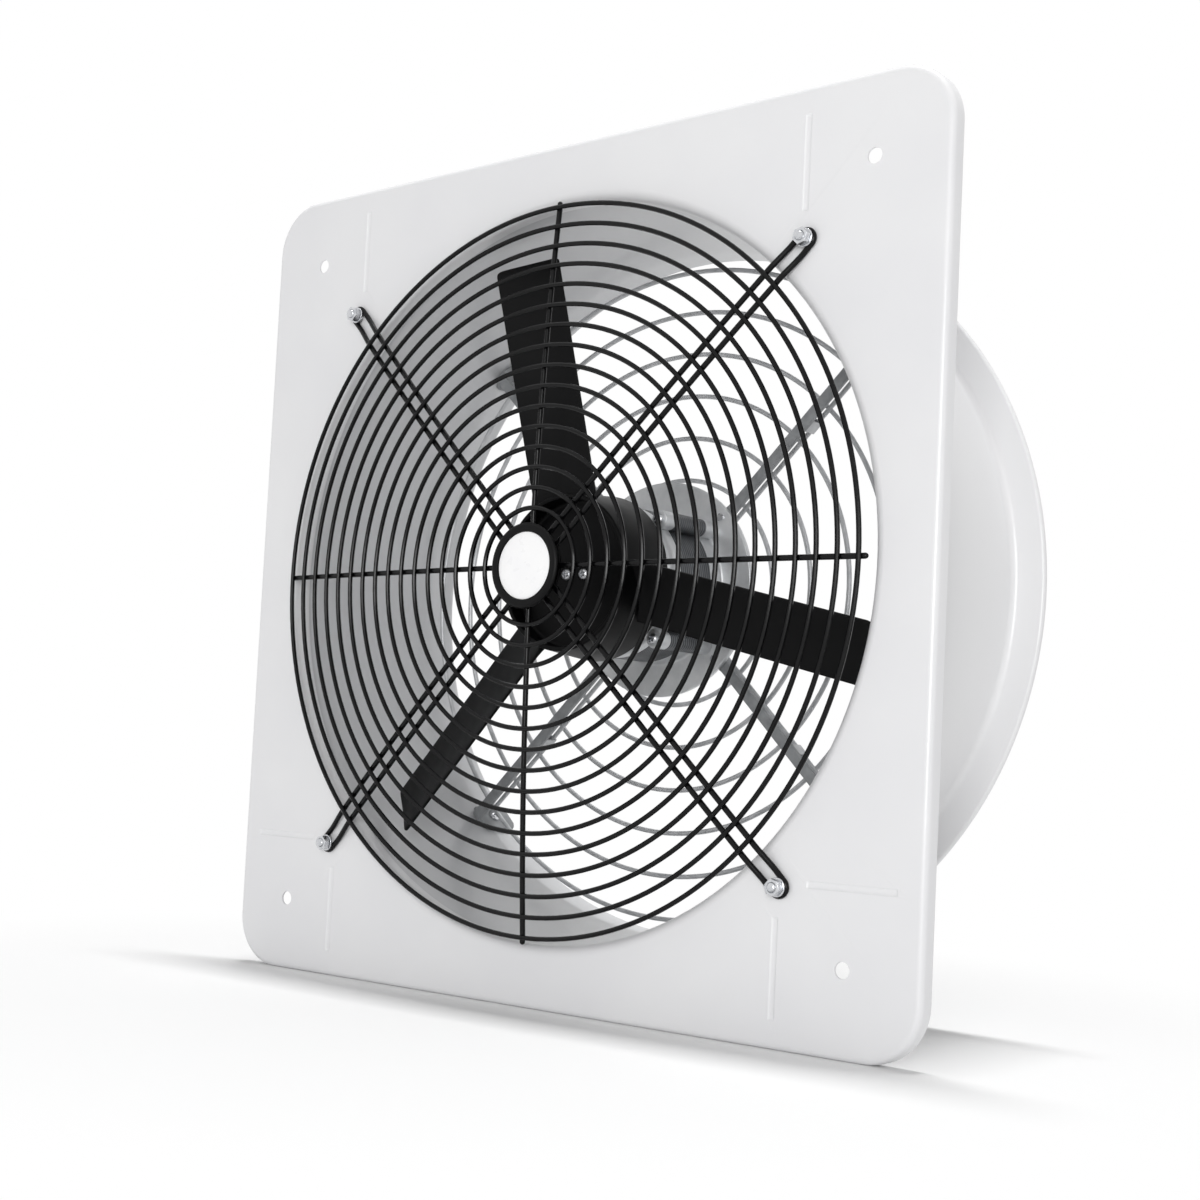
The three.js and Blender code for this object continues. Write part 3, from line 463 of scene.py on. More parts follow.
def waves(tree, across_mm, detail=2.0, roughness=0.5, stretch=(1, 1, 1)):
    """Noise on object coordinates whose lumps are about across_mm wide, with an optional stretch."""
    place = add_node(tree, "ShaderNodeTexCoord")
    scaled = add_node(tree, "ShaderNodeMapping", {"Vector": place.outputs["Object"], "Scale": stretch})
    return add_node(tree, "ShaderNodeTexNoise", {
        "Vector": scaled.outputs[0], "Scale": 1 / (across_mm * MM), "Detail": detail, "Roughness": roughness,
    }).outputs["Fac"]


def finish(name, tone, gloss, relief, constants=None):
    """A material whose colour, roughness and bump each follow a pattern.

    tone is (pattern, first hex, second hex), gloss is (pattern, low, high), and relief is (pattern, depth in
    mm, strength). A pattern is a tuple of settings for waves(), or a function of the tree.
    """
    material = bpy.data.materials.new(name)
    material.use_nodes = True
    tree = material.node_tree
    tree.nodes.clear()
    made = {}

    def value_of(pattern):
        if pattern not in made:
            made[pattern] = pattern(tree) if callable(pattern) else waves(tree, *pattern)
        return made[pattern]

    share = value_of(tone[0])
    if not callable(tone[0]):
        share = add_node(tree, "ShaderNodeMapRange", {
            "Value": share, "From Min": NOISE_LOW, "From Max": NOISE_HIGH,
        }).outputs[0]
    colour = add_node(tree, "ShaderNodeMix", {
        "Factor": share, 6: linear(tone[1]), 7: linear(tone[2]),
    }, data_type="RGBA")
    roughness = add_node(tree, "ShaderNodeMapRange", {
        "Value": value_of(gloss[0]), "From Min": NOISE_LOW, "From Max": NOISE_HIGH,
        "To Min": gloss[1], "To Max": gloss[2],
    })
    bump = add_node(tree, "ShaderNodeBump", {
        "Height": value_of(relief[0]), "Distance": relief[1] * MM, "Strength": relief[2],
    })
    principled = add_node(tree, "ShaderNodeBsdfPrincipled", {
        "Base Color": colour.outputs[2], "Roughness": roughness.outputs[0], "Normal": bump.outputs[0],
        **(constants or {}),
    })
    add_node(tree, "ShaderNodeOutputMaterial", {"Surface": principled.outputs[0]})
    print(name)
    return material


print("a finish takes a tone, a gloss and a relief")

# %% [markdown]
# The panel is cold-rolled steel with a white powder coat. Powder melts into a smooth skin with a faint orange
# peel, a few hundredths of a millimetre deep and two or three millimetres across, under a semi-gloss that
# blurs reflections.

# %% Powder-coated steel
PEEL = (2.6, 1.5)
POWDER = {"IOR": 1.5, "Coat Weight": 0.3, "Coat Roughness": 0.14}

powder_coat = finish("white_powder_coat", tone=((90, 3), "#e5e5e7", "#eaeaeb"),
                     gloss=(PEEL, 0.32, 0.4), relief=(PEEL, 0.05, 0.35), constants=POWDER)

# %% [markdown]
# The duct has its own coat, whose colour drops inside the middle of its sheet, told by the distance from the
# fan's axis. The drop is painted shade: the bore has the same white paint as the outside, and its darker grey
# stands in for the shade inside the tube, where little light reaches.

# %% Powder coat on the duct, with painted shade in its bore
DUCT_INNER = 215.1
# where the bore's painted shade gives way to the outside's white, by radius
SHADE_FROM, SHADE_TO = DUCT_INNER + 0.4, DUCT_INNER + 0.8  # both lie inside the sheet


def outside_the_shaded_bore(tree):
    """0 on the duct's inside, which gets the painted shade, and 1 on its outside: the length of (x, 0, z)
    against the sheet's middle.
    """
    position = add_node(tree, "ShaderNodeTexCoord").outputs["Object"]
    across = add_node(tree, "ShaderNodeVectorMath", {0: position, 1: (1, 0, 1)}, operation="MULTIPLY")
    radius = add_node(tree, "ShaderNodeVectorMath", {0: across.outputs[0]}, operation="LENGTH")
    return add_node(tree, "ShaderNodeMapRange", {
        "Value": radius.outputs["Value"], "From Min": SHADE_FROM * MM, "From Max": SHADE_TO * MM,
    }).outputs[0]


# The first colour, #d0d1d3, is painted shade on the bore's inside; the second is the white coat, as outside.
duct_coat_with_painted_shade = finish("powder_coat_with_painted_shade_in_bore", tone=(outside_the_shaded_bore, "#d0d1d3", "#e8e8e9"),
                   gloss=(PEEL, 0.32, 0.4), relief=(PEEL, 0.05, 0.35), constants=POWDER)

# %% [markdown]
# The guard is drawn steel wire, welded and dipped in black enamel. The enamel is thicker than powder and runs
# a little, so it is glossier, with slow waves along the wire.

# %% Black enamel on wire
RUNS = (4,)

black_enamel = finish("black_enamel_on_wire", tone=((25,), "#030304", "#070708"),
                      gloss=(RUNS, 0.17, 0.25), relief=(RUNS, 0.08, 0.4),
                      constants={"IOR": 1.5, "Specular IOR Level": 0.2})

# %% [markdown]
# Hub, blades and bezel are injection-moulded glass-filled nylon. The mould's fine spark-eroded grain leaves a
# satin black skin; the grain itself is a few hundredths of a millimetre and is drawn coarser here. The
# badge's disc is ABS from a polished mould, which is white and glossy. The grommet is moulded rubber.

# %% Moulded plastics and rubber
black_nylon = finish("moulded_black_nylon", tone=((40,), "#040405", "#080809"),
                     gloss=((18,), 0.38, 0.48), relief=((0.8, 3), 0.03, 0.3),
                     constants={"IOR": 1.53, "Specular IOR Level": 0.13})
white_abs = finish("glossy_white_abs", tone=((12,), "#fbfbfc", "#ffffff"),
                   gloss=((6,), 0.26, 0.32), relief=((3,), 0.02, 0.2), constants={"IOR": 1.53})
black_rubber = finish("moulded_black_rubber", tone=((2,), "#151515", "#222222"),
                      gloss=((1.5,), 0.7, 0.85), relief=((0.6,), 0.05, 0.4))

# %% [markdown]
# Fasteners are mild steel with bright zinc plate: a cool, slightly uneven mirror. The motor's covers are
# die-cast aluminium, which is duller and has a cast skin of small lumps. Shaft, rotor and bearings are ground
# steel, whose marks run round the axis, so their noise is squeezed along it. The windings are copper wire
# under a brown varnish.

# %% Metals
TURNING = (0.5, 2, 0.5, (1, 6, 1))
TURNS = (1.2,)

bright_zinc = finish("bright_zinc_plate", tone=((3,), "#c2c4c8", "#d6d7d9"),
                     gloss=((1.5,), 0.22, 0.36), relief=((0.9,), 0.03, 0.3), constants={"Metallic": 1.0})
cast_aluminium = finish("die_cast_aluminium", tone=((14, 4), "#cbcdcf", "#e0e1e2"),
                        gloss=((9,), 0.38, 0.52), relief=((1.6, 4, 0.6), 0.08, 0.5),
                        constants={"Metallic": 0.65})
ground_steel = finish("ground_bearing_steel", tone=(TURNING, "#a9abae", "#bfc0c2"),
                      gloss=(TURNING, 0.2, 0.34), relief=(TURNING, 0.02, 0.3), constants={"Metallic": 1.0})
enamelled_copper = finish("varnished_copper_wire", tone=(TURNS, "#7d4526", "#b06c3f"),
                          gloss=(TURNS, 0.35, 0.5), relief=(TURNS, 0.4, 0.8), constants={"Metallic": 0.5})

# %% [markdown]
# The stator is a stack of steel sheets half a millimetre thick, which shows as fine lines across the axis. A
# wave texture of scale 1 repeats about every 0.314 m, and one light and one dark band are two sheets.

# %% Laminated steel
WAVE_PERIOD = 0.314
SHEET_PITCH = 1.0  # twice the real pitch, so that the lines show


def sheet_edges(tree):
    """Bands across the Y axis, a sheet wide each."""
    place = add_node(tree, "ShaderNodeTexCoord")
    return add_node(tree, "ShaderNodeTexWave", {
        "Vector": place.outputs["Object"], "Scale": WAVE_PERIOD / (SHEET_PITCH * MM) / 2, "Distortion": 0.4,
    }, bands_direction="Y").outputs["Fac"]


lamination_stack = finish("laminated_electrical_steel", tone=(sheet_edges, "#3f4143", "#77797c"),
                          gloss=((7,), 0.42, 0.58), relief=(sheet_edges, 0.15, 0.5),
                          constants={"Metallic": 0.9})

# %% [markdown]
# The arms are strip steel in a thin grey paint, and the rear guard is wire in a silver-grey one. Neither is
# primed as carefully as the front, so the paint is uneven and a little rougher.

# %% Grey paints
arm_paint = finish("grey_paint_on_strip_steel", tone=((8, 3), "#828486", "#9a9c9e"),
                   gloss=((5,), 0.42, 0.56), relief=((1.4, 3), 0.05, 0.4), constants={"Metallic": 0.15})
silver_wire_paint = finish("silver_paint_on_wire", tone=((6,), "#b0b2b4", "#c8c9cb"),
                           gloss=((3,), 0.34, 0.46), relief=((2,), 0.06, 0.4), constants={"Metallic": 0.3})

# %% [markdown]
# ## Sizes read from the frame
# The places of the visible faces come from the frame's boxes, in millimetres: the panel's front, the duct's
# rear, the badge, the hub and the motor. Radii that a box can't show are named with each piece.

# %% Places from the frame
def span(node, axis="y"):
    """The low and high ends of a node's box along an axis, in millimetres."""
    low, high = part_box(node)
    k = "xyz".index(axis)
    return low[k] / MM, high[k] / MM


SHEET = 1.2
PANEL_HALF = span("front_panel", "x")[1]
RIM_DEPTH = 10.0
PANEL_FRONT = -RIM_DEPTH
DUCT_END = span("duct_shell")[1]
CORNERS = (45, 135, 225, 315)
QUARTERS = (0, 90, 180, 270)
print(f"panel {2 * PANEL_HALF:.0f} mm square, duct to y = {DUCT_END:.0f} mm")

# %% [markdown]
# ## The panel
# The real panel is one pressed sheet: its edge is folded back to the wall, its corners are rounded, and its
# middle is drawn through a bell mouth into a short collar. A sheet with two bends is a profile carried along
# an outline, but the outline changes from a rounded square outside to a circle inside. So each row of the
# grid is its own loop, and all loops have their points in the same directions.

# %% The panel's loops
CORNER_RADIUS = 32.0
OPENING_RADIUS = 219.6
CORNER_POINTS = 24
SIDE_POINTS = 72


def square_outline(inset):
    """The rounded square drawn in by an inset: a straight side, then an arc about each corner's centre."""
    straight = PANEL_HALF - CORNER_RADIUS
    radius = CORNER_RADIUS - inset
    s = np.linspace(-straight, straight, SIDE_POINTS, endpoint=False)
    t = np.linspace(0, math.pi / 2, CORNER_POINTS, endpoint=False)
    side = np.stack([np.full_like(s, PANEL_HALF - inset), s], axis=-1)
    arc = np.stack([straight + radius * np.cos(t), straight + radius * np.sin(t)], axis=-1)
    turns = [np.concatenate([side, arc])]
    for _ in range(3):
        last = turns[-1]
        turns.append(np.stack([-last[:, 1], last[:, 0]], axis=-1))
    return np.concatenate(turns)


OUTLINE_ANGLES = np.arctan2(square_outline(0)[:, 1], square_outline(0)[:, 0])


def circle_outline(radius):
    """A circle with its points in the directions of the square outline's points."""
    return radius * np.stack([np.cos(OUTLINE_ANGLES), np.sin(OUTLINE_ANGLES)], axis=-1)


def at_depth(outline, y):
    """A flat (x, z) outline put at a depth y."""
    return np.stack([outline[:, 0], np.full(len(outline), y), outline[:, 1]], axis=-1)


print("each loop has", len(OUTLINE_ANGLES), "points")

# %% [markdown]
# From the collar's end the rows run round the mouth's bend, over the flat and round the rim's bend to the
# edge. The back is the same walk with smaller radii, one sheet further in, and the two skins close a sheet.

# %% The panel's two skins
MOUTH_BEND = 6.0
RIM_BEND = 3.5
COLLAR_END = 1.0
BEND_STEPS = 7
FLAT_MARGIN = 0.5  # where the flat's first and last rows lie, past each bend


def panel_skin(offset):
    """The sheet's front (offset 0) or back (offset SHEET) from the collar's end to the rim's edge."""
    mouth, rim = MOUTH_BEND - offset, RIM_BEND - offset
    middle_y = PANEL_FRONT + MOUTH_BEND
    rim_y = PANEL_FRONT + RIM_BEND
    flat_y = PANEL_FRONT + offset
    angle = np.linspace(0, math.pi / 2, BEND_STEPS)
    bend = list(zip(np.sin(angle), np.cos(angle)))
    rows = [at_depth(circle_outline(OPENING_RADIUS - mouth), COLLAR_END)]
    rows += [at_depth(circle_outline(OPENING_RADIUS - mouth * c), middle_y - mouth * s) for s, c in bend]
    rows += [at_depth(circle_outline(OPENING_RADIUS + FLAT_MARGIN), flat_y)]
    rows += [at_depth(square_outline(RIM_BEND + FLAT_MARGIN), flat_y)]
    rows += [at_depth(square_outline(RIM_BEND - rim * s), rim_y - rim * c) for s, c in bend]
    rows += [at_depth(square_outline(offset), 0)]
    return rows


panel_grid = np.stack(panel_skin(0) + panel_skin(SHEET)[::-1])
panel = piece("panel_sheet", [shell(panel_grid, close_rows=True)], powder_coat, "frame",
              ["front_panel"])

# %% [markdown]
# Shallow grooves are pressed beside the guard's screws: an upright one near each corner, and a level one near
# the two lower corners. A groove's depth over its width is D (1 - |v|^3), a flat floor with soft walls, and
# its ends close in the same way. It is cut into the front, and the metal that it moves shows as a ridge on
# the back.

# %% The grooves' shape
GROOVE_AT, GROOVE_START, GROOVE_LENGTH = 165.0, 183.0, 52.0
GROOVE_WIDTH, GROOVE_DEPTH = 4.0, 0.6
GROOVE_MARGIN = 0.5  # how far the cutting bar starts before the sheet


def groove(width, start_y, floor_y):
    """A bar along Z whose far side bulges from start_y to floor_y, and whose near side is flat."""
    u = np.linspace(-1, 1, 120)[:, None]
    v = np.linspace(-1, 1, 17)[None]
    to_end = np.clip((1 - np.abs(u)) * GROOVE_LENGTH / width, 0, 1)
    bulge = (1 - np.abs(v) ** 3) * (1 - (1 - to_end) ** 3)
    x = GROOVE_AT + v * width / 2 + 0 * u
    z = GROOVE_START + (u + 1) * GROOVE_LENGTH / 2 + 0 * v
    deep = np.stack([x, start_y + (floor_y - start_y) * bulge, z], axis=-1)
    flat = np.stack([x, np.full_like(x, start_y - GROOVE_MARGIN), z], axis=-1)
    loop = np.concatenate([deep, flat[:, ::-1]], axis=1)
    centre = loop.mean(axis=1, keepdims=True) * np.ones_like(loop)
    return shell(np.concatenate([centre[:1], loop, centre[-1:]]))


def all_grooves(width, start_y, floor_y):
    """Upright ones at (x, z), (x, -z), (-x, z) and (-x, -z), and level ones at (z, -x) and (-z, -x)."""
    points, faces = groove(width, start_y, floor_y)
    swapped = points[:, [2, 1, 0]]
    signs = [(sx, sz) for sx in (1, -1) for sz in (1, -1)]
    placed = [(points * [sx, 1, sz], sx * sz) for sx, sz in signs]
    placed += [(swapped * [sx, 1, -1], sx) for sx in (1, -1)]
    return [(p, faces if mirror > 0 else faces[:, ::-1]) for p, mirror in placed]


print("groove:", GROOVE_LENGTH, "x", GROOVE_WIDTH, "mm,", GROOVE_DEPTH, "mm deep")

# %% [markdown]
# The grooves and the four wall holes are taken out of the finished sheet with an exact boolean, which is
# applied at once, so the piece keeps no live modifier.

# %% Cutting the panel
HOLE_RADIUS, HOLE_OFFSET = 4.25, 205.5
PEG_FRONT, PEG_REAR = PANEL_FRONT - 4, PANEL_FRONT + 4
PANEL_SHARP_ANGLE = math.radians(20)


def pegs(radius, places, y_low, y_high):
    """Cylinders along Y at (x, z) places."""
    peg = turned([(0, y_low), (radius, y_low), (radius, y_high), (0, y_high)], 48)
    return [part for x, z in places for part in moved(peg, x=x, z=z)]


def cut_away(target, shells, sharp_angle):
    """Takes shells out of a piece with an exact boolean, and applies it."""
    points, faces = joined(shells)
    mesh = bpy.data.meshes.new("cutter")
    mesh.from_pydata((points * MM).tolist(), [], faces.tolist())
    merge_doubles(mesh)
    tool = bpy.data.objects.new("cutter", mesh)
    bpy.context.scene.collection.objects.link(tool)
    cut = target.modifiers.new("cut", "BOOLEAN")
    cut.operation = "DIFFERENCE"
    cut.solver = "EXACT"
    cut.object = tool
    bpy.context.view_layer.update()
    finished = bpy.data.meshes.new_from_object(target.evaluated_get(bpy.context.evaluated_depsgraph_get()))
    target.modifiers.clear()
    finished.name = target.data.name
    target.data = finished
    bpy.data.objects.remove(tool)
    finished.set_sharp_from_angle(angle=sharp_angle)
    print(f"{target.name}: {len(shells)} shapes cut away, {len(finished.polygons)} faces")


wall_holes = [(x * HOLE_OFFSET, z * HOLE_OFFSET) for x in (-1, 1) for z in (-1, 1)]
cut_away(panel, all_grooves(GROOVE_WIDTH, PANEL_FRONT, PANEL_FRONT + GROOVE_DEPTH)
         + pegs(HOLE_RADIUS, wall_holes, PEG_FRONT, PEG_REAR), PANEL_SHARP_ANGLE)
back = PANEL_FRONT + SHEET
ridges = all_grooves(GROOVE_WIDTH + SHEET, back, back + GROOVE_DEPTH)
piece("panel_groove_backs", ridges, powder_coat, "frame")

# %% [markdown]
# ## The duct
# A rolled sheet tube slips over the collar. At the rear it flares out over a fillet into a flat lip, which
# keeps its end round, and the lip's outer edge is turned back, which stiffens it and hides its cut edge.
# The sheet's inside and outside are one closed profile on the lathe, so every bend keeps the wall between
# them. A Solidify modifier would do the same from one skin, but would round the cut edges less well.

# %% The duct and its lip
DUCT_BEND = 4.5
LIP_WIDTH, LIP_RETURN, LIP_EDGE_BEND = 19.2, 2.4, 2.4

duct_outer = DUCT_INNER + SHEET
duct_start = PANEL_FRONT + MOUTH_BEND
lip_radius = duct_outer + LIP_WIDTH
lip_rear = DUCT_END - LIP_RETURN
piece("duct_tube", lathe([
    (DUCT_INNER, duct_start, 0.3),
    (DUCT_INNER, lip_rear, DUCT_BEND + SHEET),
    (lip_radius - SHEET, lip_rear, 0.8),
    (lip_radius - SHEET, DUCT_END, 0.5),
    (lip_radius, DUCT_END, 0.5),
    (lip_radius, lip_rear - SHEET, LIP_EDGE_BEND),
    (duct_outer, lip_rear - SHEET, DUCT_BEND),
    (duct_outer, duct_start, 0.3),
], 288), duct_coat_with_painted_shade, "frame", ["duct_shell"])

# %% [markdown]
# ## The front guard
# Sixteen rings lie on a shallow dome. Behind them run four single spokes, level and upright, and four
# hairpins on the diagonals, whose closed ends hook round the panel's studs. All are welded where they cross,
# so each spoke sinks a little into the rings. The dome is y = front - rise + drop (r / R)^2. Every wire stays
# a closed tube of its own, because welded wires overlap and don't melt into one skin.

# %% Dome, rings, spokes and hairpins
RING_COUNT, RING_FIRST, RING_PITCH = 16, 33.4, 11.75
RING_LAST = RING_FIRST + RING_PITCH * (RING_COUNT - 1)
RING_WIRE, SPOKE_WIRE = 1.4, 1.6  # radii
DOME_RISE, DOME_DROP = 16.5, 9.3
SPOKE_BEHIND = 2.45
SPOKE_INNER, SPOKE_OUTER = 14.0, 212.2
HAIRPIN_HALF = 4.5
STUD_CIRCLE = 237.0
HOOK_RUN = 5  # of each hook that lies flat on the panel before the stud
HOOK_GAP = 0.12  # between the hook and the panel
HOOK_Y = PANEL_FRONT - HOOK_GAP - SPOKE_WIRE


def dome(r):
    """Where a ring of radius r lies."""
    return PANEL_FRONT - DOME_RISE + DOME_DROP * (r / RING_LAST) ** 2


def spoke_path():
    """Straight out along X on the dome, behind the rings."""
    r = np.linspace(SPOKE_INNER, SPOKE_OUTER, 60)
    return np.stack([r, dome(np.minimum(r, RING_LAST)) + SPOKE_BEHIND, 0 * r], axis=-1)


def hairpin_path():
    """Out along one leg, round the stud on a half circle, and back. Past the last ring it bends down."""
    r = np.linspace(SPOKE_INNER, STUD_CIRCLE, 90, endpoint=False)
    bend = smoothstep((r - RING_LAST) / (STUD_CIRCLE - HOOK_RUN - RING_LAST))
    y = (dome(np.minimum(r, RING_LAST)) + SPOKE_BEHIND) * (1 - bend) + HOOK_Y * bend
    leg = np.stack([r, y, np.full_like(r, HAIRPIN_HALF)], axis=-1)
    t = np.linspace(0, math.pi, 24)
    hook = np.stack([
        STUD_CIRCLE + HAIRPIN_HALF * np.sin(t), np.full_like(t, HOOK_Y), HAIRPIN_HALF * np.cos(t),
    ], axis=-1)
    return np.concatenate([leg, hook, leg[::-1] * [1, 1, -1]])


guard = []
for k in range(RING_COUNT):
    ring_radius = RING_FIRST + RING_PITCH * k
    guard += wire_ring(ring_radius, dome(ring_radius), RING_WIRE, int(60 + ring_radius * 0.65))
for angle in QUARTERS:
    guard += turned_to(wire(spoke_path(), SPOKE_WIRE), angle)
for angle in CORNERS:
    guard += turned_to(wire(hairpin_path(), SPOKE_WIRE), angle)
piece("guard_wires", guard, black_enamel, "frame", ["front_guard"])

# %% [markdown]
# ## Threads and nuts
# Each hook is held by a threaded stud through the panel. A thread is a helix: the radius of a cylinder rises
# and falls once in every pitch along the axis, and the turns shift with the angle round it. Its tip is a
# little thinner, so that a nut starts easily. It is real relief, because a bump wouldn't show in the stud's
# outline. A nut is a hexagon whose corners are turned down to a cone.

# %% A thread and a nut
THREAD_LEAD_IN, THREAD_TAPER = 0.6, 0.5  # how long the thinner tip is, and how much thinner
NUT_FACE_SHARE = 0.97  # the flat ring's radius, as a share of half the width across flats
NUT_CONE = math.radians(30)
NUT_CHAMFER = 0.4


def threaded(radius, pitch, depth, y0, y1, around=40):
    """Radius less depth times a triangle wave of (y / pitch - angle / turn), thinner at the tip, y0."""
    y = np.linspace(y0, y1, int(abs(y1 - y0) / pitch * 10))[:, None]
    a = np.linspace(0, 2 * math.pi, around, endpoint=False)[None]
    phase = np.mod(y / pitch - a / (2 * math.pi), 1)
    fade = smoothstep((y - y0) / (THREAD_LEAD_IN * (1 if y1 > y0 else -1)))
    r = radius - depth * np.abs(2 * phase - 1) - THREAD_TAPER * (1 - fade)
    return [end_capped(np.stack([r * np.cos(a), y + 0 * a, r * np.sin(a)], axis=-1))]


def hex_nut(across_flats, hole, y0, y1, around=120):
    """A hexagon of radius (AF / 2) / cos(angle from the flat's middle), with both faces coned off."""
    a = np.linspace(0, 2 * math.pi, around, endpoint=False)
    from_flat = np.mod(a + math.pi / 6, math.pi / 3) - math.pi / 6
    outer = across_flats / 2 / np.cos(from_flat)
    face = np.full_like(a, across_flats / 2 * NUT_FACE_SHARE)
    drop = (outer - face) * math.tan(NUT_CONE)
    rows = [
        (hole, y0 + NUT_CHAMFER), (hole + NUT_CHAMFER, y0), (face, y0), (outer, y0 + drop),
        (outer, y1 - drop), (face, y1), (hole + NUT_CHAMFER, y1), (hole, y1 - NUT_CHAMFER),
    ]
    grid = np.stack([np.stack([r * np.cos(a), y + 0 * a, r * np.sin(a)], axis=-1) for r, y in rows])
    return [shell(grid, close_rows=True)]


print("thread and nut shapes ready")

# %% [markdown]
# The stud's own head lies behind the panel, and a washer and a nut hold the hook down on its front. One set
# is made on the +X side, and turned to each of the four diagonals.

# %% Studs, washers and nuts in place
STUD_RADIUS, STUD_PITCH, STUD_THREAD = 2.45, 0.8, 0.28
NUT_FLATS, WASHER_RADIUS = 8.0, 5.0
STUD_CORE = 0.01  # the head's hole, so small that it is solid to the eye
nut_front, nut_rear = span("guard_nut_1")
washer_front, washer_rear = span("guard_washer_1")
stud_front, stud_rear = span("guard_stud_1")
head_front = PANEL_FRONT + SHEET + 0.1
washer_hole = STUD_RADIUS + 0.2

stud = threaded(STUD_RADIUS, STUD_PITCH, STUD_THREAD, stud_front, head_front + 1)
stud += hex_nut(NUT_FLATS, STUD_CORE, head_front, stud_rear)
washer = lathe([
    (washer_hole, washer_front, 0.2), (WASHER_RADIUS, washer_front, 0.3),
    (WASHER_RADIUS, washer_rear, 0.3), (washer_hole, washer_rear, 0.2),
], 48, steps=3)
nut = hex_nut(NUT_FLATS, STUD_RADIUS, nut_front, nut_rear)
for i, angle in enumerate(CORNERS, start=1):
    for name, shells in (("stud", stud), ("washer", washer), ("nut", nut)):
        placed = turned_to(moved(shells, x=STUD_CIRCLE), angle)
        piece(f"hook_{name}_{i}", placed, bright_zinc, "frame", [f"guard_{name}_{i}"])

# %% [markdown]
# ## The badge
# A black bezel and a plain white disc cover the middle of the guard. They clamp the wires' inner ends against
# a plate behind, with one screw. The disc is bare, and very slightly domed. All three are round mouldings, so
# each is one lathe profile from the axis out and back.

# %% Bezel, disc and backplate
BEZEL_RADIUS, BEZEL_REAR_RADIUS, DISC_RADIUS = 25.0, 21.0, 19.3
BACKPLATE_RADIUS = 20.0
DISC_CLEARANCE = 0.25
SPIGOT_STEP, SPIGOT_WALL = 0.6, 2.0  # the shallow recess in the bezel's rear
badge_front, badge_rear = span("badge_bezel")
disc_front, disc_rear = span("badge_disc")
plate_front, plate_rear = span("badge_backplate")
recess = disc_rear + 0.2
spigot_inner = BEZEL_REAR_RADIUS - SPIGOT_WALL

piece("badge_ring", lathe([
    (0, recess, 0), (DISC_RADIUS + DISC_CLEARANCE, recess, 0.1),
    (DISC_RADIUS + DISC_CLEARANCE, badge_front, 0.4), (BEZEL_RADIUS - 1.6, badge_front, 2.2),
    (BEZEL_RADIUS, badge_front + 1.8, 1.2), (BEZEL_REAR_RADIUS, badge_rear, 0.4),
    (spigot_inner, badge_rear, 0.3), (spigot_inner, badge_rear - SPIGOT_STEP, 0.2),
    (0, badge_rear - SPIGOT_STEP, 0),
], 128, closed=False), black_nylon, "frame", ["badge_bezel"])
piece("badge_face", lathe([
    (0, disc_front - 0.05, 0), (DISC_RADIUS * 0.6, disc_front - 0.02, 40),
    (DISC_RADIUS, disc_front + 0.1, 0.35), (DISC_RADIUS, disc_rear, 0.2), (0, disc_rear, 0),
], 128, closed=False), white_abs, "frame", ["badge_disc"])
piece("badge_plate", lathe([
    (0, plate_front, 0), (BACKPLATE_RADIUS, plate_front, 0.4), (BACKPLATE_RADIUS, plate_rear, 0.7),
    (0, plate_rear, 0),
], 96, closed=False), black_nylon, "frame", ["badge_backplate"])

# %% [markdown]
# ## Cross-head screws
# A pan head is a shallow dome with a cross pressed into it. On a polar grid the dome's height is one formula
# and the cross is another: full depth where a point is nearer than half a slot's width to either slot's
# middle line, fading out at the slots' ends.

# %% A pan-head screw
SMALL_SCREW = (3.4, 2.4, 1.9)  # the head's radius and height, and the shank's radius
WEB_SCREW = (3.4, 2.6, 1.9)
FLANGE_SCREW = (4.6, 3.2, 2.3)
SLOT_HALF_WIDTH, SLOT_WALL, SLOT_RUN_OUT = 0.42, 0.18, 0.6
SLOT_REACH = 0.62  # of the head's radius
DOME_FALL, DOME_POWER = 0.55, 3.5
SCREW_SEGMENTS = 72


def circle_at(radius, y):
    """One row of a screw's grid: a circle square to the Y axis."""
    a = np.linspace(0, 2 * math.pi, SCREW_SEGMENTS, endpoint=False)
    return np.stack([radius * np.cos(a), np.full_like(a, y), radius * np.sin(a)], axis=-1)


def pan_screw(size, seat, tip):
    """A screw on the Y axis. Its head stands on y = seat, away from its tip."""
    head_radius, height, shank_radius = size
    up = 1 if seat > tip else -1
    r = np.concatenate([np.linspace(0, 0.72, 22), np.linspace(0.76, 1, 7)])[:, None] * head_radius
    a = np.linspace(0, 2 * math.pi, SCREW_SEGMENTS, endpoint=False)[None]
    x, z = r * np.cos(a), r * np.sin(a)
    rise = height * (1 - DOME_FALL * (r / head_radius) ** DOME_POWER) + 0 * a

    def slot_depth(across, along):
        in_width = smoothstep((SLOT_HALF_WIDTH - np.abs(across)) / SLOT_WALL + 0.5)
        return in_width * smoothstep((head_radius * SLOT_REACH - np.abs(along)) / SLOT_RUN_OUT)

    rise = rise - np.maximum(slot_depth(x, z), slot_depth(z, x)) * height * 0.5
    top = np.stack([x, seat + up * rise, z], axis=-1)
    below = [circle_at(head_radius, seat + up * 0.12 * height), circle_at(head_radius - 0.2, seat),
             circle_at(shank_radius, seat), circle_at(shank_radius, tip), circle_at(0, tip)]
    return [shell(np.concatenate([top, np.stack(below)]))]


badge_screw = pan_screw(SMALL_SCREW, plate_rear + 0.1, badge_rear - 0.4)
piece("badge_fixing", badge_screw, bright_zinc, "frame", ["badge_screw"])

# %% [markdown]
# ## The impeller
# The hub is a slightly tapered barrel, open in front, with a plain web inside it that two screws clamp to the
# bush. Barrel and web are one moulding, so they are one profile on the lathe, with the fillets between them.

# %% The hub
HUB_FRONT_RADIUS, HUB_REAR_RADIUS, HUB_WALL = 46.0, 49.5, 3.0
WEB_DEPTH, WEB_THICKNESS = 13.0, 4.0
hub_front, hub_rear = span("impeller_hub")
web_front = hub_front + WEB_DEPTH
web_rear = web_front + WEB_THICKNESS


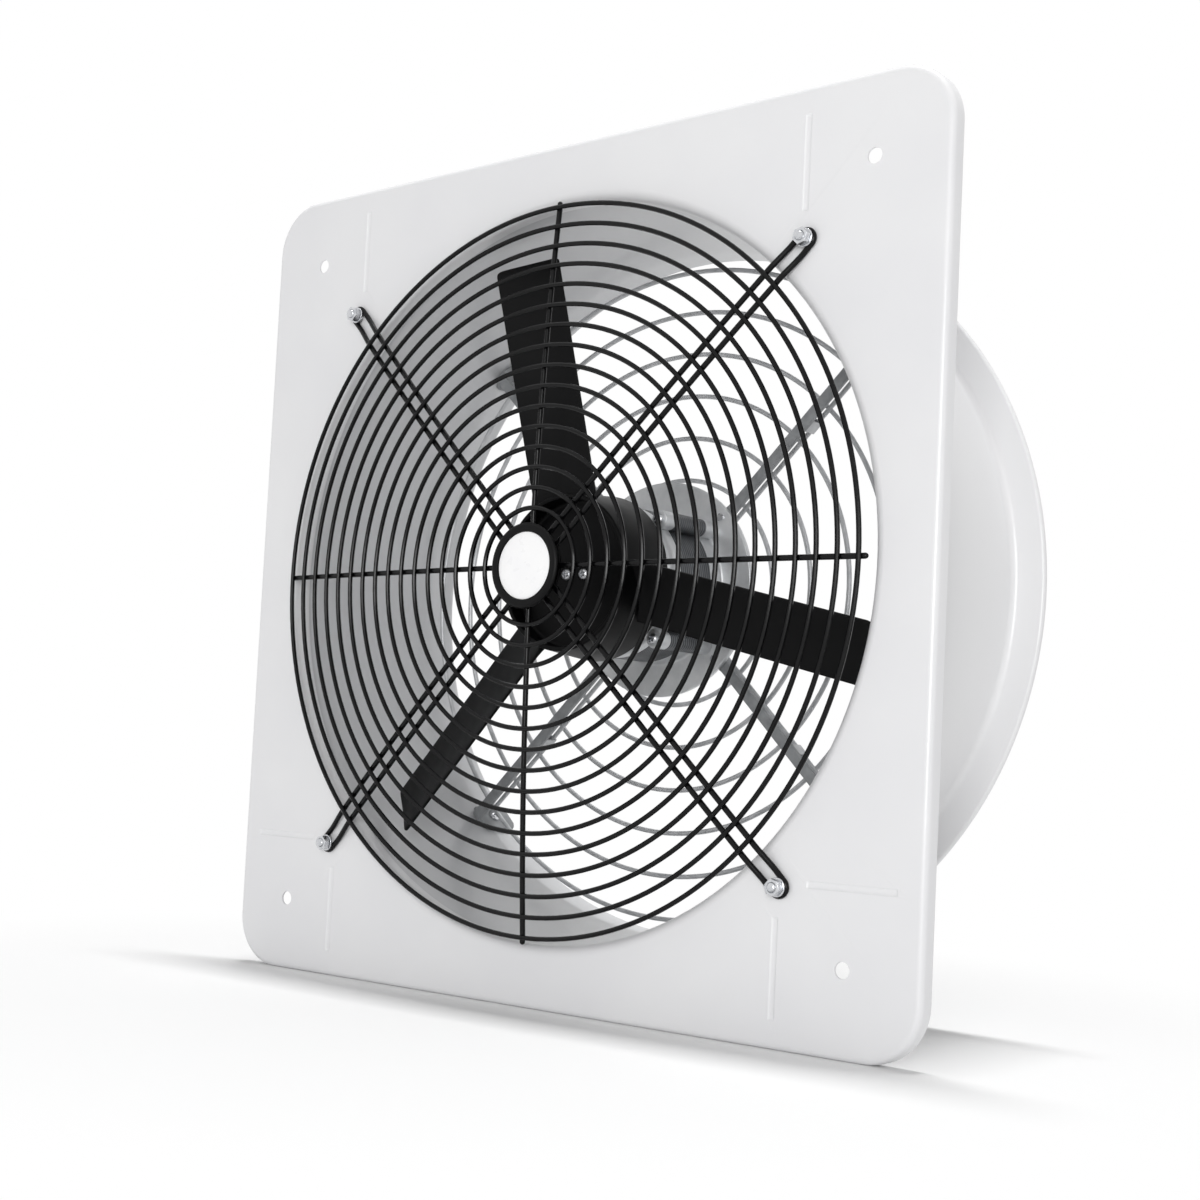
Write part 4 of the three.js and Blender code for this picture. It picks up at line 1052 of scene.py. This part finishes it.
def hub_radius(y):
    """The barrel's outer radius, growing evenly from front to rear."""
    return HUB_FRONT_RADIUS + (HUB_REAR_RADIUS - HUB_FRONT_RADIUS) * (y - hub_front) / (hub_rear - hub_front)


piece("hub_barrel", lathe([
    (0, web_front, 0), (hub_radius(web_front) - HUB_WALL, web_front, 2.5),
    (HUB_FRONT_RADIUS - HUB_WALL, hub_front, 1.0), (HUB_FRONT_RADIUS, hub_front, 1.6),
    (HUB_REAR_RADIUS, hub_rear, 0.8), (HUB_REAR_RADIUS - HUB_WALL, hub_rear, 0.8),
    (hub_radius(web_rear) - HUB_WALL, web_rear, 2.0), (0, web_rear, 0),
], 160, closed=False), black_nylon, "impeller", ["impeller_hub"])

# %% [markdown]
# A blade is a bowed plate of even width, whose front edge leads and whose rear edge trails. At each radius
# its section runs from the lead to the trail on a shallow bow, with a thickness that is even in the middle
# and rounded at both edges. It is thickened by a fillet where it leaves the hub, and at the tip both corners
# are cut back on an arc. The plate is worked out in radius and angle, so that its width is true on the arc
# round the axis; a flat mesh bent afterwards would be stretched.

# %% The blades
BLADE_COUNT = 3
BLADE_PHASE = 106.5  # degrees from +X towards +Z
BLADE_TIP = 203.0
BLADE_THICKNESS, BLADE_HALF, BLADE_CAMBER = 3.0, 17.5, 2.0
ROOT_FRONT, ROOT_REAR = 10.5, 27.5
TIP_FRONT, TIP_REAR = 14.0, 33.5
TIP_LEAD_CORNER, TIP_TRAIL_CORNER = 3.5, 2.5
TIP_THINNING, TIP_THIN_RUN = 0.35, 1.2
ROOT_FILLET, FILLET_RUN = 2.5, 3.5
ROOT_SINK = 0.5  # how far a blade starts inside the hub
EDGE_POWER = 0.35  # below 1 the section's thickness is even and its edges are blunt


def blade_shell():
    """At radius r and section angle v: s = (1 - cos v) / 2 runs along the chord, and the side is sin v."""
    u = np.linspace(0, 1, 70)[:, None]
    start_radius = HUB_FRONT_RADIUS - ROOT_SINK
    r = start_radius + (BLADE_TIP - start_radius) * (1 - (1 - u) ** 1.6)
    v = np.linspace(0, 2 * math.pi, 56, endpoint=False)[None]
    t = (r - HUB_REAR_RADIUS) / (BLADE_TIP - HUB_REAR_RADIUS)
    front = ROOT_FRONT + (TIP_FRONT - ROOT_FRONT) * t
    rear = ROOT_REAR + (TIP_REAR - ROOT_REAR) * t

    def corner_cut(corner):
        inside = np.clip(r - (BLADE_TIP - corner), 0, corner)
        return corner - np.sqrt(np.maximum(corner ** 2 - inside ** 2, 0))

    chord = np.hypot(2 * BLADE_HALF, rear - front)
    start = corner_cut(TIP_LEAD_CORNER) / chord
    stop = 1 - corner_cut(TIP_TRAIL_CORNER) / chord
    s = start + (stop - start) * (1 - np.cos(v)) / 2
    slope = np.arctan2(rear - front, 2 * BLADE_HALF)
    fillet = ROOT_FILLET * np.exp(-np.maximum(r - HUB_FRONT_RADIUS, 0) / FILLET_RUN)
    thin_tip = 1 - TIP_THINNING * smoothstep((r - BLADE_TIP + TIP_THIN_RUN) / TIP_THIN_RUN)
    side = np.sign(np.sin(v)) * np.abs(np.sin(v)) ** EDGE_POWER
    thickness = (BLADE_THICKNESS / 2 * thin_tip + fillet) * side
    across = BLADE_HALF - 2 * BLADE_HALF * s + thickness * np.sin(slope)
    y = front + (rear - front) * s + BLADE_CAMBER * 4 * s * (1 - s) + thickness * np.cos(slope)
    angle = across / r
    return [end_capped(np.stack([r * np.cos(angle), y, r * np.sin(angle)], axis=-1))]


for i in range(BLADE_COUNT):
    placed = turned_to(blade_shell(), BLADE_PHASE + 360 / BLADE_COUNT * i)
    piece(f"impeller_blade_{i + 1}", placed, black_nylon, "impeller", [f"blade_{i + 1}"])

# %% [markdown]
# Behind the web an aluminium bush grips the shaft, and the two screws in the web's recess are tapped into it.
# The shaft runs on into the motor and carries the rotor. Little of them is seen, so short profiles will do.

# %% The bush, its screws, the shaft and the rotor
HUB_SCREW_CIRCLE, HUB_SCREW_REACH = 6.5, 5.0
SHAFT_RADIUS, SHAFT_FIT = 6.0, 0.1
BUSH_RADIUS, ROTOR_RADIUS = 14.0, 30.0
bush_front, bush_rear = span("hub_bush")
shaft_front, shaft_rear = span("motor_shaft")
rotor_front, rotor_rear = span("motor_rotor")
bore = SHAFT_RADIUS + SHAFT_FIT

piece("bush", lathe([
    (0, bush_front, 0), (BUSH_RADIUS, bush_front, 0.8), (BUSH_RADIUS, bush_rear, 0.8),
    (bore, bush_rear, 0.5), (bore, shaft_front - 0.2, 0), (0, shaft_front - 0.2, 0),
], 72, closed=False), cast_aluminium, "impeller", ["hub_bush"])
web_screw = moved(pan_screw(WEB_SCREW, web_front, bush_front + HUB_SCREW_REACH), x=HUB_SCREW_CIRCLE)
for i, angle in enumerate((0, 180), start=1):
    piece(f"web_screw_{i}", turned_to(web_screw, angle), bright_zinc, "impeller", [f"hub_screw_{i}"])
piece("shaft", lathe([
    (0, shaft_front, 0), (SHAFT_RADIUS, shaft_front, 0.8), (SHAFT_RADIUS, shaft_rear, 0.8),
    (0, shaft_rear, 0),
], 64, closed=False), ground_steel, "impeller", ["motor_shaft"])
piece("rotor", lathe([
    (bore, rotor_front, 0.3), (ROTOR_RADIUS, rotor_front, 1), (ROTOR_RADIUS, rotor_rear, 1),
    (bore, rotor_rear, 0.3),
], 96), ground_steel, "impeller", ["motor_rotor"])

# %% [markdown]
# ## The motor
# Two die-cast cups close on a laminated stator, and four long bolts at the corners pull them together. The
# cups' ears stand out round the bolts; the rear cup also has the flange that the arms are screwed to. Inside,
# each cup has a boss round its bearing. A cup is one lathe profile, and its ears are closed shells that run
# into its wall, which a boolean could join but nobody would see.

# %% Covers and core
MOTOR_RADIUS, COVER_WALL, BOLT_CIRCLE, EAR_RADIUS = 46.0, 3.0, 50.0, 5.5
FLANGE_RADIUS, FLANGE_THICKNESS, FLANGE_SCREW_CIRCLE = 67.0, 3.4, 61.0
FRONT_BORE, REAR_BORE = 7.5, 6.8  # the radii of the holes in the middle of the two covers
NOSE_RADIUS, NOSE_RISE = 16.0, 0.8
BOSS_RADIUS, BEARING_SEAT, BEARING_FLOOR = 17.0, 14.2, 3.0
FRONT_BOSS, REAR_BOSS = 11.5, 11.3  # how far the bosses reach in from each cup's outer face
STATOR_BORE = 30.6
EAR_INSET = 4.0  # how far behind the front cover's face its ears start
front_0, front_1 = span("motor_front_cover")
rear_0, rear_1 = span("motor_rear_cover")
core_0, core_1 = span("stator_core")
cover_inner = MOTOR_RADIUS - COVER_WALL
flange_front = rear_1 - FLANGE_THICKNESS


def ear(y0, y1):
    """A round boss for a bolt, which runs into the cover's wall."""
    boss = [(0, y0, 0), (EAR_RADIUS, y0, 0.9), (EAR_RADIUS, y1, 0.3), (0, y1, 0)]
    return moved(lathe(boss, 40, closed=False), x=BOLT_CIRCLE)


front_cover = lathe([
    (FRONT_BORE, front_0, 0.5), (NOSE_RADIUS, front_0, 1.0), (NOSE_RADIUS + 2, front_0 + NOSE_RISE, 1.0),
    (MOTOR_RADIUS - 9, front_0 + NOSE_RISE, 5), (MOTOR_RADIUS, front_0 + 6, 6), (MOTOR_RADIUS, front_1, 0.3),
    (cover_inner, front_1, 0.3), (cover_inner, front_0 + 5, 3), (BOSS_RADIUS, front_0 + 4, 1),
    (BOSS_RADIUS, front_0 + FRONT_BOSS, 0.5), (BEARING_SEAT, front_0 + FRONT_BOSS, 0.3),
    (BEARING_SEAT, front_0 + BEARING_FLOOR, 0.3), (FRONT_BORE, front_0 + BEARING_FLOOR, 0.3),
], 144)
rear_cover = lathe([
    (REAR_BORE, rear_1, 0.5), (FLANGE_RADIUS, rear_1, 0.8), (FLANGE_RADIUS, flange_front, 0.8),
    (MOTOR_RADIUS, flange_front, 2.0), (MOTOR_RADIUS, rear_0, 0.3), (cover_inner, rear_0, 0.3),
    (cover_inner, rear_1 - 4, 3), (BOSS_RADIUS, rear_1 - 3, 1), (BOSS_RADIUS, rear_1 - REAR_BOSS, 0.5),
    (BEARING_SEAT, rear_1 - REAR_BOSS, 0.3), (BEARING_SEAT, rear_1 - BEARING_FLOOR, 0.3),
    (REAR_BORE, rear_1 - BEARING_FLOOR, 0.3),
], 144)
stator = lathe([
    (STATOR_BORE, core_0, 0.3), (MOTOR_RADIUS, core_0, 0.5), (MOTOR_RADIUS, core_1, 0.5),
    (STATOR_BORE, core_1, 0.3),
], 144)
for angle in CORNERS:
    front_cover += turned_to(ear(front_0 + EAR_INSET, front_1), angle)
    rear_cover += turned_to(ear(rear_0, rear_1 - 1), angle)
    stator += turned_to(ear(core_0, core_1), angle)
piece("motor_front", front_cover, cast_aluminium, "frame", ["motor_front_cover"])
piece("motor_rear", rear_cover, cast_aluminium, "frame", ["motor_rear_cover"])
piece("motor_core", stator, lamination_stack, "frame", ["stator_core"])

# %% [markdown]
# At both ends of the core the windings stand out as a tied ring. Each bearing is an inner and an outer race
# with shields between them, a little sunk. A rubber grommet lines the hole in the rear cover that a lead
# would leave by. All are turned profiles; the wires of the windings are left to their material.

# %% Windings, bearings and grommet
WINDING_INNER, WINDING_OUTER = 31.6, 41.5
INNER_RACE, OUTER_RACE = (6.2, 8.6), (11.4, 14.0)
SHIELD_STEP, SHIELD_SINK = 0.2, 0.6
GROMMET_OFFSET, GROMMET_BORE, GROMMET_NECK = 30.0, 3.0, 5.1

for node, name in (("winding_front", "end_turns_front"), ("winding_rear", "end_turns_rear")):
    y0, y1 = span(node)
    piece(name, lathe([
        (WINDING_INNER, y0, 2.5), (WINDING_OUTER, y0, 2.5), (WINDING_OUTER, y1, 1.5),
        (WINDING_INNER, y1, 1.5),
    ], 120), enamelled_copper, "frame", [node])
for node in ("front_bearing", "rear_bearing"):
    y0, y1 = span(node)
    face = [(INNER_RACE[0], 0, 0.4), (INNER_RACE[1], 0, 0.2), (INNER_RACE[1] + SHIELD_STEP, SHIELD_SINK, 0.2),
            (OUTER_RACE[0] - SHIELD_STEP, SHIELD_SINK, 0.2), (OUTER_RACE[0], 0, 0.2), (OUTER_RACE[1], 0, 0.5)]
    races = [(r, y0 + sink, bend) for r, sink, bend in face]
    races += [(r, y1 - sink, bend) for r, sink, bend in face[::-1]]
    piece(f"{node}_races", lathe(races, 72, steps=3), ground_steel, "frame", [node])
grommet_front, grommet_rear = span("lead_grommet")
grommet = lathe([
    (GROMMET_BORE, grommet_front, 0.5), (6.6, grommet_front, 0.7), (6.6, rear_1 - 3.1, 0.3),
    (GROMMET_NECK, rear_1 - 3.1, 0.2), (GROMMET_NECK, rear_1 + 0.1, 0.2), (6.8, rear_1 + 0.1, 0.5),
    (6.4, grommet_rear, 0.8), (GROMMET_BORE, grommet_rear, 0.6),
], 48)
piece("lead_bushing", moved(grommet, z=-GROMMET_OFFSET), black_rubber, "frame", ["lead_grommet"])

# %% [markdown]
# ## Arms
# Each arm is a flat strip from the motor's flange to the duct, where it is bent back and lies on the duct's
# wall. The strip's middle line is a straight run, a small arc and a second straight run, and its section is a
# flat rounded rectangle, wider on the pad under the screws and along the foot. A section carried along a line
# keeps its thickness through the bend, as bent strip does.

# %% The four arms
ARM_WIDTH, ARM_THICKNESS, ARM_INNER = 7.0, 3.0, 44.0
PAD_WIDTH, PAD_END, PAD_RUN = 12.0, 67.0, 6.0
FOOT_WIDTH, FOOT_RUN, FOOT_ROUND = 20.0, 5.0, 4.0
FOOT_FIT = 0.35  # between the foot's corners and the duct's wall
ARM_BEND = 5.0
arm_front, arm_end = span("arm_1")
arm_rear = arm_front + ARM_THICKNESS
foot_outer = math.sqrt((DUCT_INNER - FOOT_FIT) ** 2 - (FOOT_WIDTH / 2) ** 2)


def arm_line():
    """The middle line's radius and depth, and how far it has bent, from the pad to the foot's end."""
    middle_y = arm_front + ARM_THICKNESS / 2
    middle_r = foot_outer - ARM_THICKNESS / 2
    t = np.linspace(0, math.pi / 2, 14)
    out = np.linspace(ARM_INNER, middle_r - ARM_BEND, 40, endpoint=False)
    down = np.linspace(middle_y + ARM_BEND, arm_end, 26)[1:]
    radial = np.concatenate([
        out, middle_r - ARM_BEND + ARM_BEND * np.sin(t), np.full_like(down, middle_r),
    ])
    y = np.concatenate([np.full_like(out, middle_y), middle_y + ARM_BEND * (1 - np.cos(t)), down])
    bend = np.concatenate([np.zeros_like(out), t, np.full_like(down, math.pi / 2)])
    return radial, y, bend


def arm_width(radial, y):
    """The strip's width along its line: a pad with a round end, the strip, and a foot with soft corners."""
    wide = smoothstep((y - y[0] - 2) / FOOT_RUN)
    pad = 1 - smoothstep((radial - PAD_END + PAD_RUN) / PAD_RUN)
    to_round = np.clip((ARM_INNER + PAD_RUN - radial) / PAD_RUN, 0, 1)
    round_end = np.minimum(1, np.sqrt(np.maximum(1 - to_round ** 2, 0.02)))
    to_end = np.clip((y - arm_end + FOOT_ROUND) / FOOT_ROUND, 0, 1)
    foot_end = np.sqrt(np.maximum(1 - to_end ** 2 * 0.6, 0))
    width = ARM_WIDTH + (FOOT_WIDTH - ARM_WIDTH) * wide + (PAD_WIDTH - ARM_WIDTH) * pad
    return width * round_end * foot_end


def arm_shell():
    """The section (w |cos k|^0.18, h |sin k|^0.5), with their signs, carried along the middle line."""
    radial, y, bend = arm_line()
    k = np.linspace(0, 2 * math.pi, 32, endpoint=False)
    flat = np.sign(np.cos(k)) * np.abs(np.cos(k)) ** 0.18
    thick = np.sign(np.sin(k)) * np.abs(np.sin(k)) ** 0.5 * ARM_THICKNESS / 2
    return [end_capped(np.stack([
        radial[:, None] + thick[None] * np.sin(bend)[:, None],
        y[:, None] - thick[None] * np.cos(bend)[:, None],
        flat[None] * arm_width(radial, y)[:, None] / 2,
    ], axis=-1))]


for i, angle in enumerate(CORNERS, start=1):
    piece(f"strip_arm_{i}", turned_to(arm_shell(), angle), arm_paint, "frame", [f"arm_{i}"])

# %% [markdown]
# The arms' inner ends are held by the motor bolts' tails with a nut each, and by a screw into the flange.
# Each foot has a screw out through the duct's wall. They are the screw, the thread and the nut from before,
# in other sizes.

# %% Bolts, nuts and screws of the motor and arms
BOLT_THREAD = (2.0, 0.7, 0.25)  # radius, pitch and depth
BOLT_NUT_FLATS, BOLT_NUT_HEIGHT = 7.0, 2.6
SCREW_SEAT = 0.05
bolt_rear = span("motor_bolt_1")[1]
foot_screw_y = (arm_rear + arm_end) / 2


def along_x(shells):
    """Shells made along Y, laid along X: y becomes x, and x becomes -y."""
    return [(points[:, [1, 0, 2]] * [1, -1, 1], faces) for points, faces in shells]


bolt = pan_screw(SMALL_SCREW, front_0 + EAR_INSET, arm_rear - 2)
bolt += threaded(*BOLT_THREAD, bolt_rear, arm_rear - 2.5, 28)
nut = hex_nut(BOLT_NUT_FLATS, BOLT_THREAD[0], arm_rear + SCREW_SEAT, arm_rear + BOLT_NUT_HEIGHT, 72)
screw = pan_screw(FLANGE_SCREW, arm_rear + SCREW_SEAT, flange_front - 1)
foot = along_x(pan_screw(SMALL_SCREW, foot_outer - ARM_THICKNESS - SCREW_SEAT, duct_outer + 2.4))
for i, angle in enumerate(CORNERS, start=1):
    for name, shells, replaces in (
        (f"through_bolt_{i}", moved(bolt, x=BOLT_CIRCLE), [f"motor_bolt_{i}"]),
        (f"through_bolt_nut_{i}", moved(nut, x=BOLT_CIRCLE), []),
        (f"flange_screw_{i}", moved(screw, x=FLANGE_SCREW_CIRCLE), [f"arm_screw_{i}"]),
        (f"foot_fixing_{i}", moved(foot, y=foot_screw_y), [f"foot_screw_{i}"]),
    ):
        piece(name, turned_to(shells, angle), bright_zinc, "frame", replaces)

# %% [markdown]
# ## The rear guard
# Eight thin rings and four radial wires close the duct behind the arms. The two functions for the front
# guard's wires make these as well.

# %% Rear rings and radial wires
REAR_COUNT, REAR_FIRST, REAR_PITCH, REAR_WIRE = 8, 17.5, 26.7, 1.5
REAR_LAST = REAR_FIRST + REAR_PITCH * (REAR_COUNT - 1)
RADIAL_OVERHANG = 3
WIRE_INSET = 1.35  # from the guard's faces to its wires' middle lines
guard_front, guard_rear = span("rear_guard")
radial_y, ring_y = guard_front + WIRE_INSET, guard_rear - WIRE_INSET

rear_guard = []
for k in range(REAR_COUNT):
    ring_radius = REAR_FIRST + REAR_PITCH * k
    rear_guard += wire_ring(ring_radius, ring_y, REAR_WIRE, int(60 + ring_radius * 0.6))
for angle in CORNERS:
    r = np.linspace(REAR_FIRST - RADIAL_OVERHANG, REAR_LAST + RADIAL_OVERHANG, 40)
    path = np.stack([r, np.full_like(r, radial_y), 0 * r], axis=-1)
    rear_guard += turned_to(wire(path, REAR_WIRE), angle)
piece("rear_wires", rear_guard, silver_wire_paint, "frame", ["rear_guard"])

# %% [markdown]
# Small saddles hold the radial wires off the arms. A saddle is a strip bent over the wire, so a flat section
# is carried up one side, round a half circle and down the other, with one grid for the whole bend.

# %% The saddles
SADDLE_AT, SADDLE_HALF = 137.65, 4.0
SADDLE_WALL, SADDLE_FIT = 1.0, 0.15


def saddle():
    """A strip bent over the radial wire: up one side, round a half circle about the wire, and down."""
    t = np.linspace(0, math.pi, 20)
    middle = REAR_WIRE + SADDLE_FIT + SADDLE_WALL / 2
    legs = np.linspace(arm_rear + 0.1, radial_y, 12, endpoint=False)
    z = np.concatenate([np.full_like(legs, middle), middle * np.cos(t), np.full_like(legs, -middle)])
    y = np.concatenate([legs, radial_y + middle * np.sin(t), legs[::-1]])
    nz = np.concatenate([np.ones_like(legs), np.cos(t), -np.ones_like(legs)])
    ny = np.concatenate([0 * legs, np.sin(t), 0 * legs])
    section = rounded([(sx * SADDLE_HALF, sy * SADDLE_WALL / 2, 0.25)
                       for sx, sy in ((-1, -1), (1, -1), (1, 1), (-1, 1))])
    return [end_capped(np.stack([
        SADDLE_AT + section[None, :, 0] + 0 * y[:, None],
        y[:, None] + ny[:, None] * section[None, :, 1],
        z[:, None] + nz[:, None] * section[None, :, 1],
    ], axis=-1))]


for i, angle in enumerate(CORNERS, start=1):
    piece(f"wire_saddle_{i}", turned_to(saddle(), angle), silver_wire_paint, "frame",
          [f"guard_clip_{i}"])

# %% [markdown]
# ## Finish
# The frame's box is printed, in metres. The visual model has to fill the CAD model's box and no more.

# %% Print the frame's box
print("frame box", [round(v, 4) for corner in frame_box for v in corner])
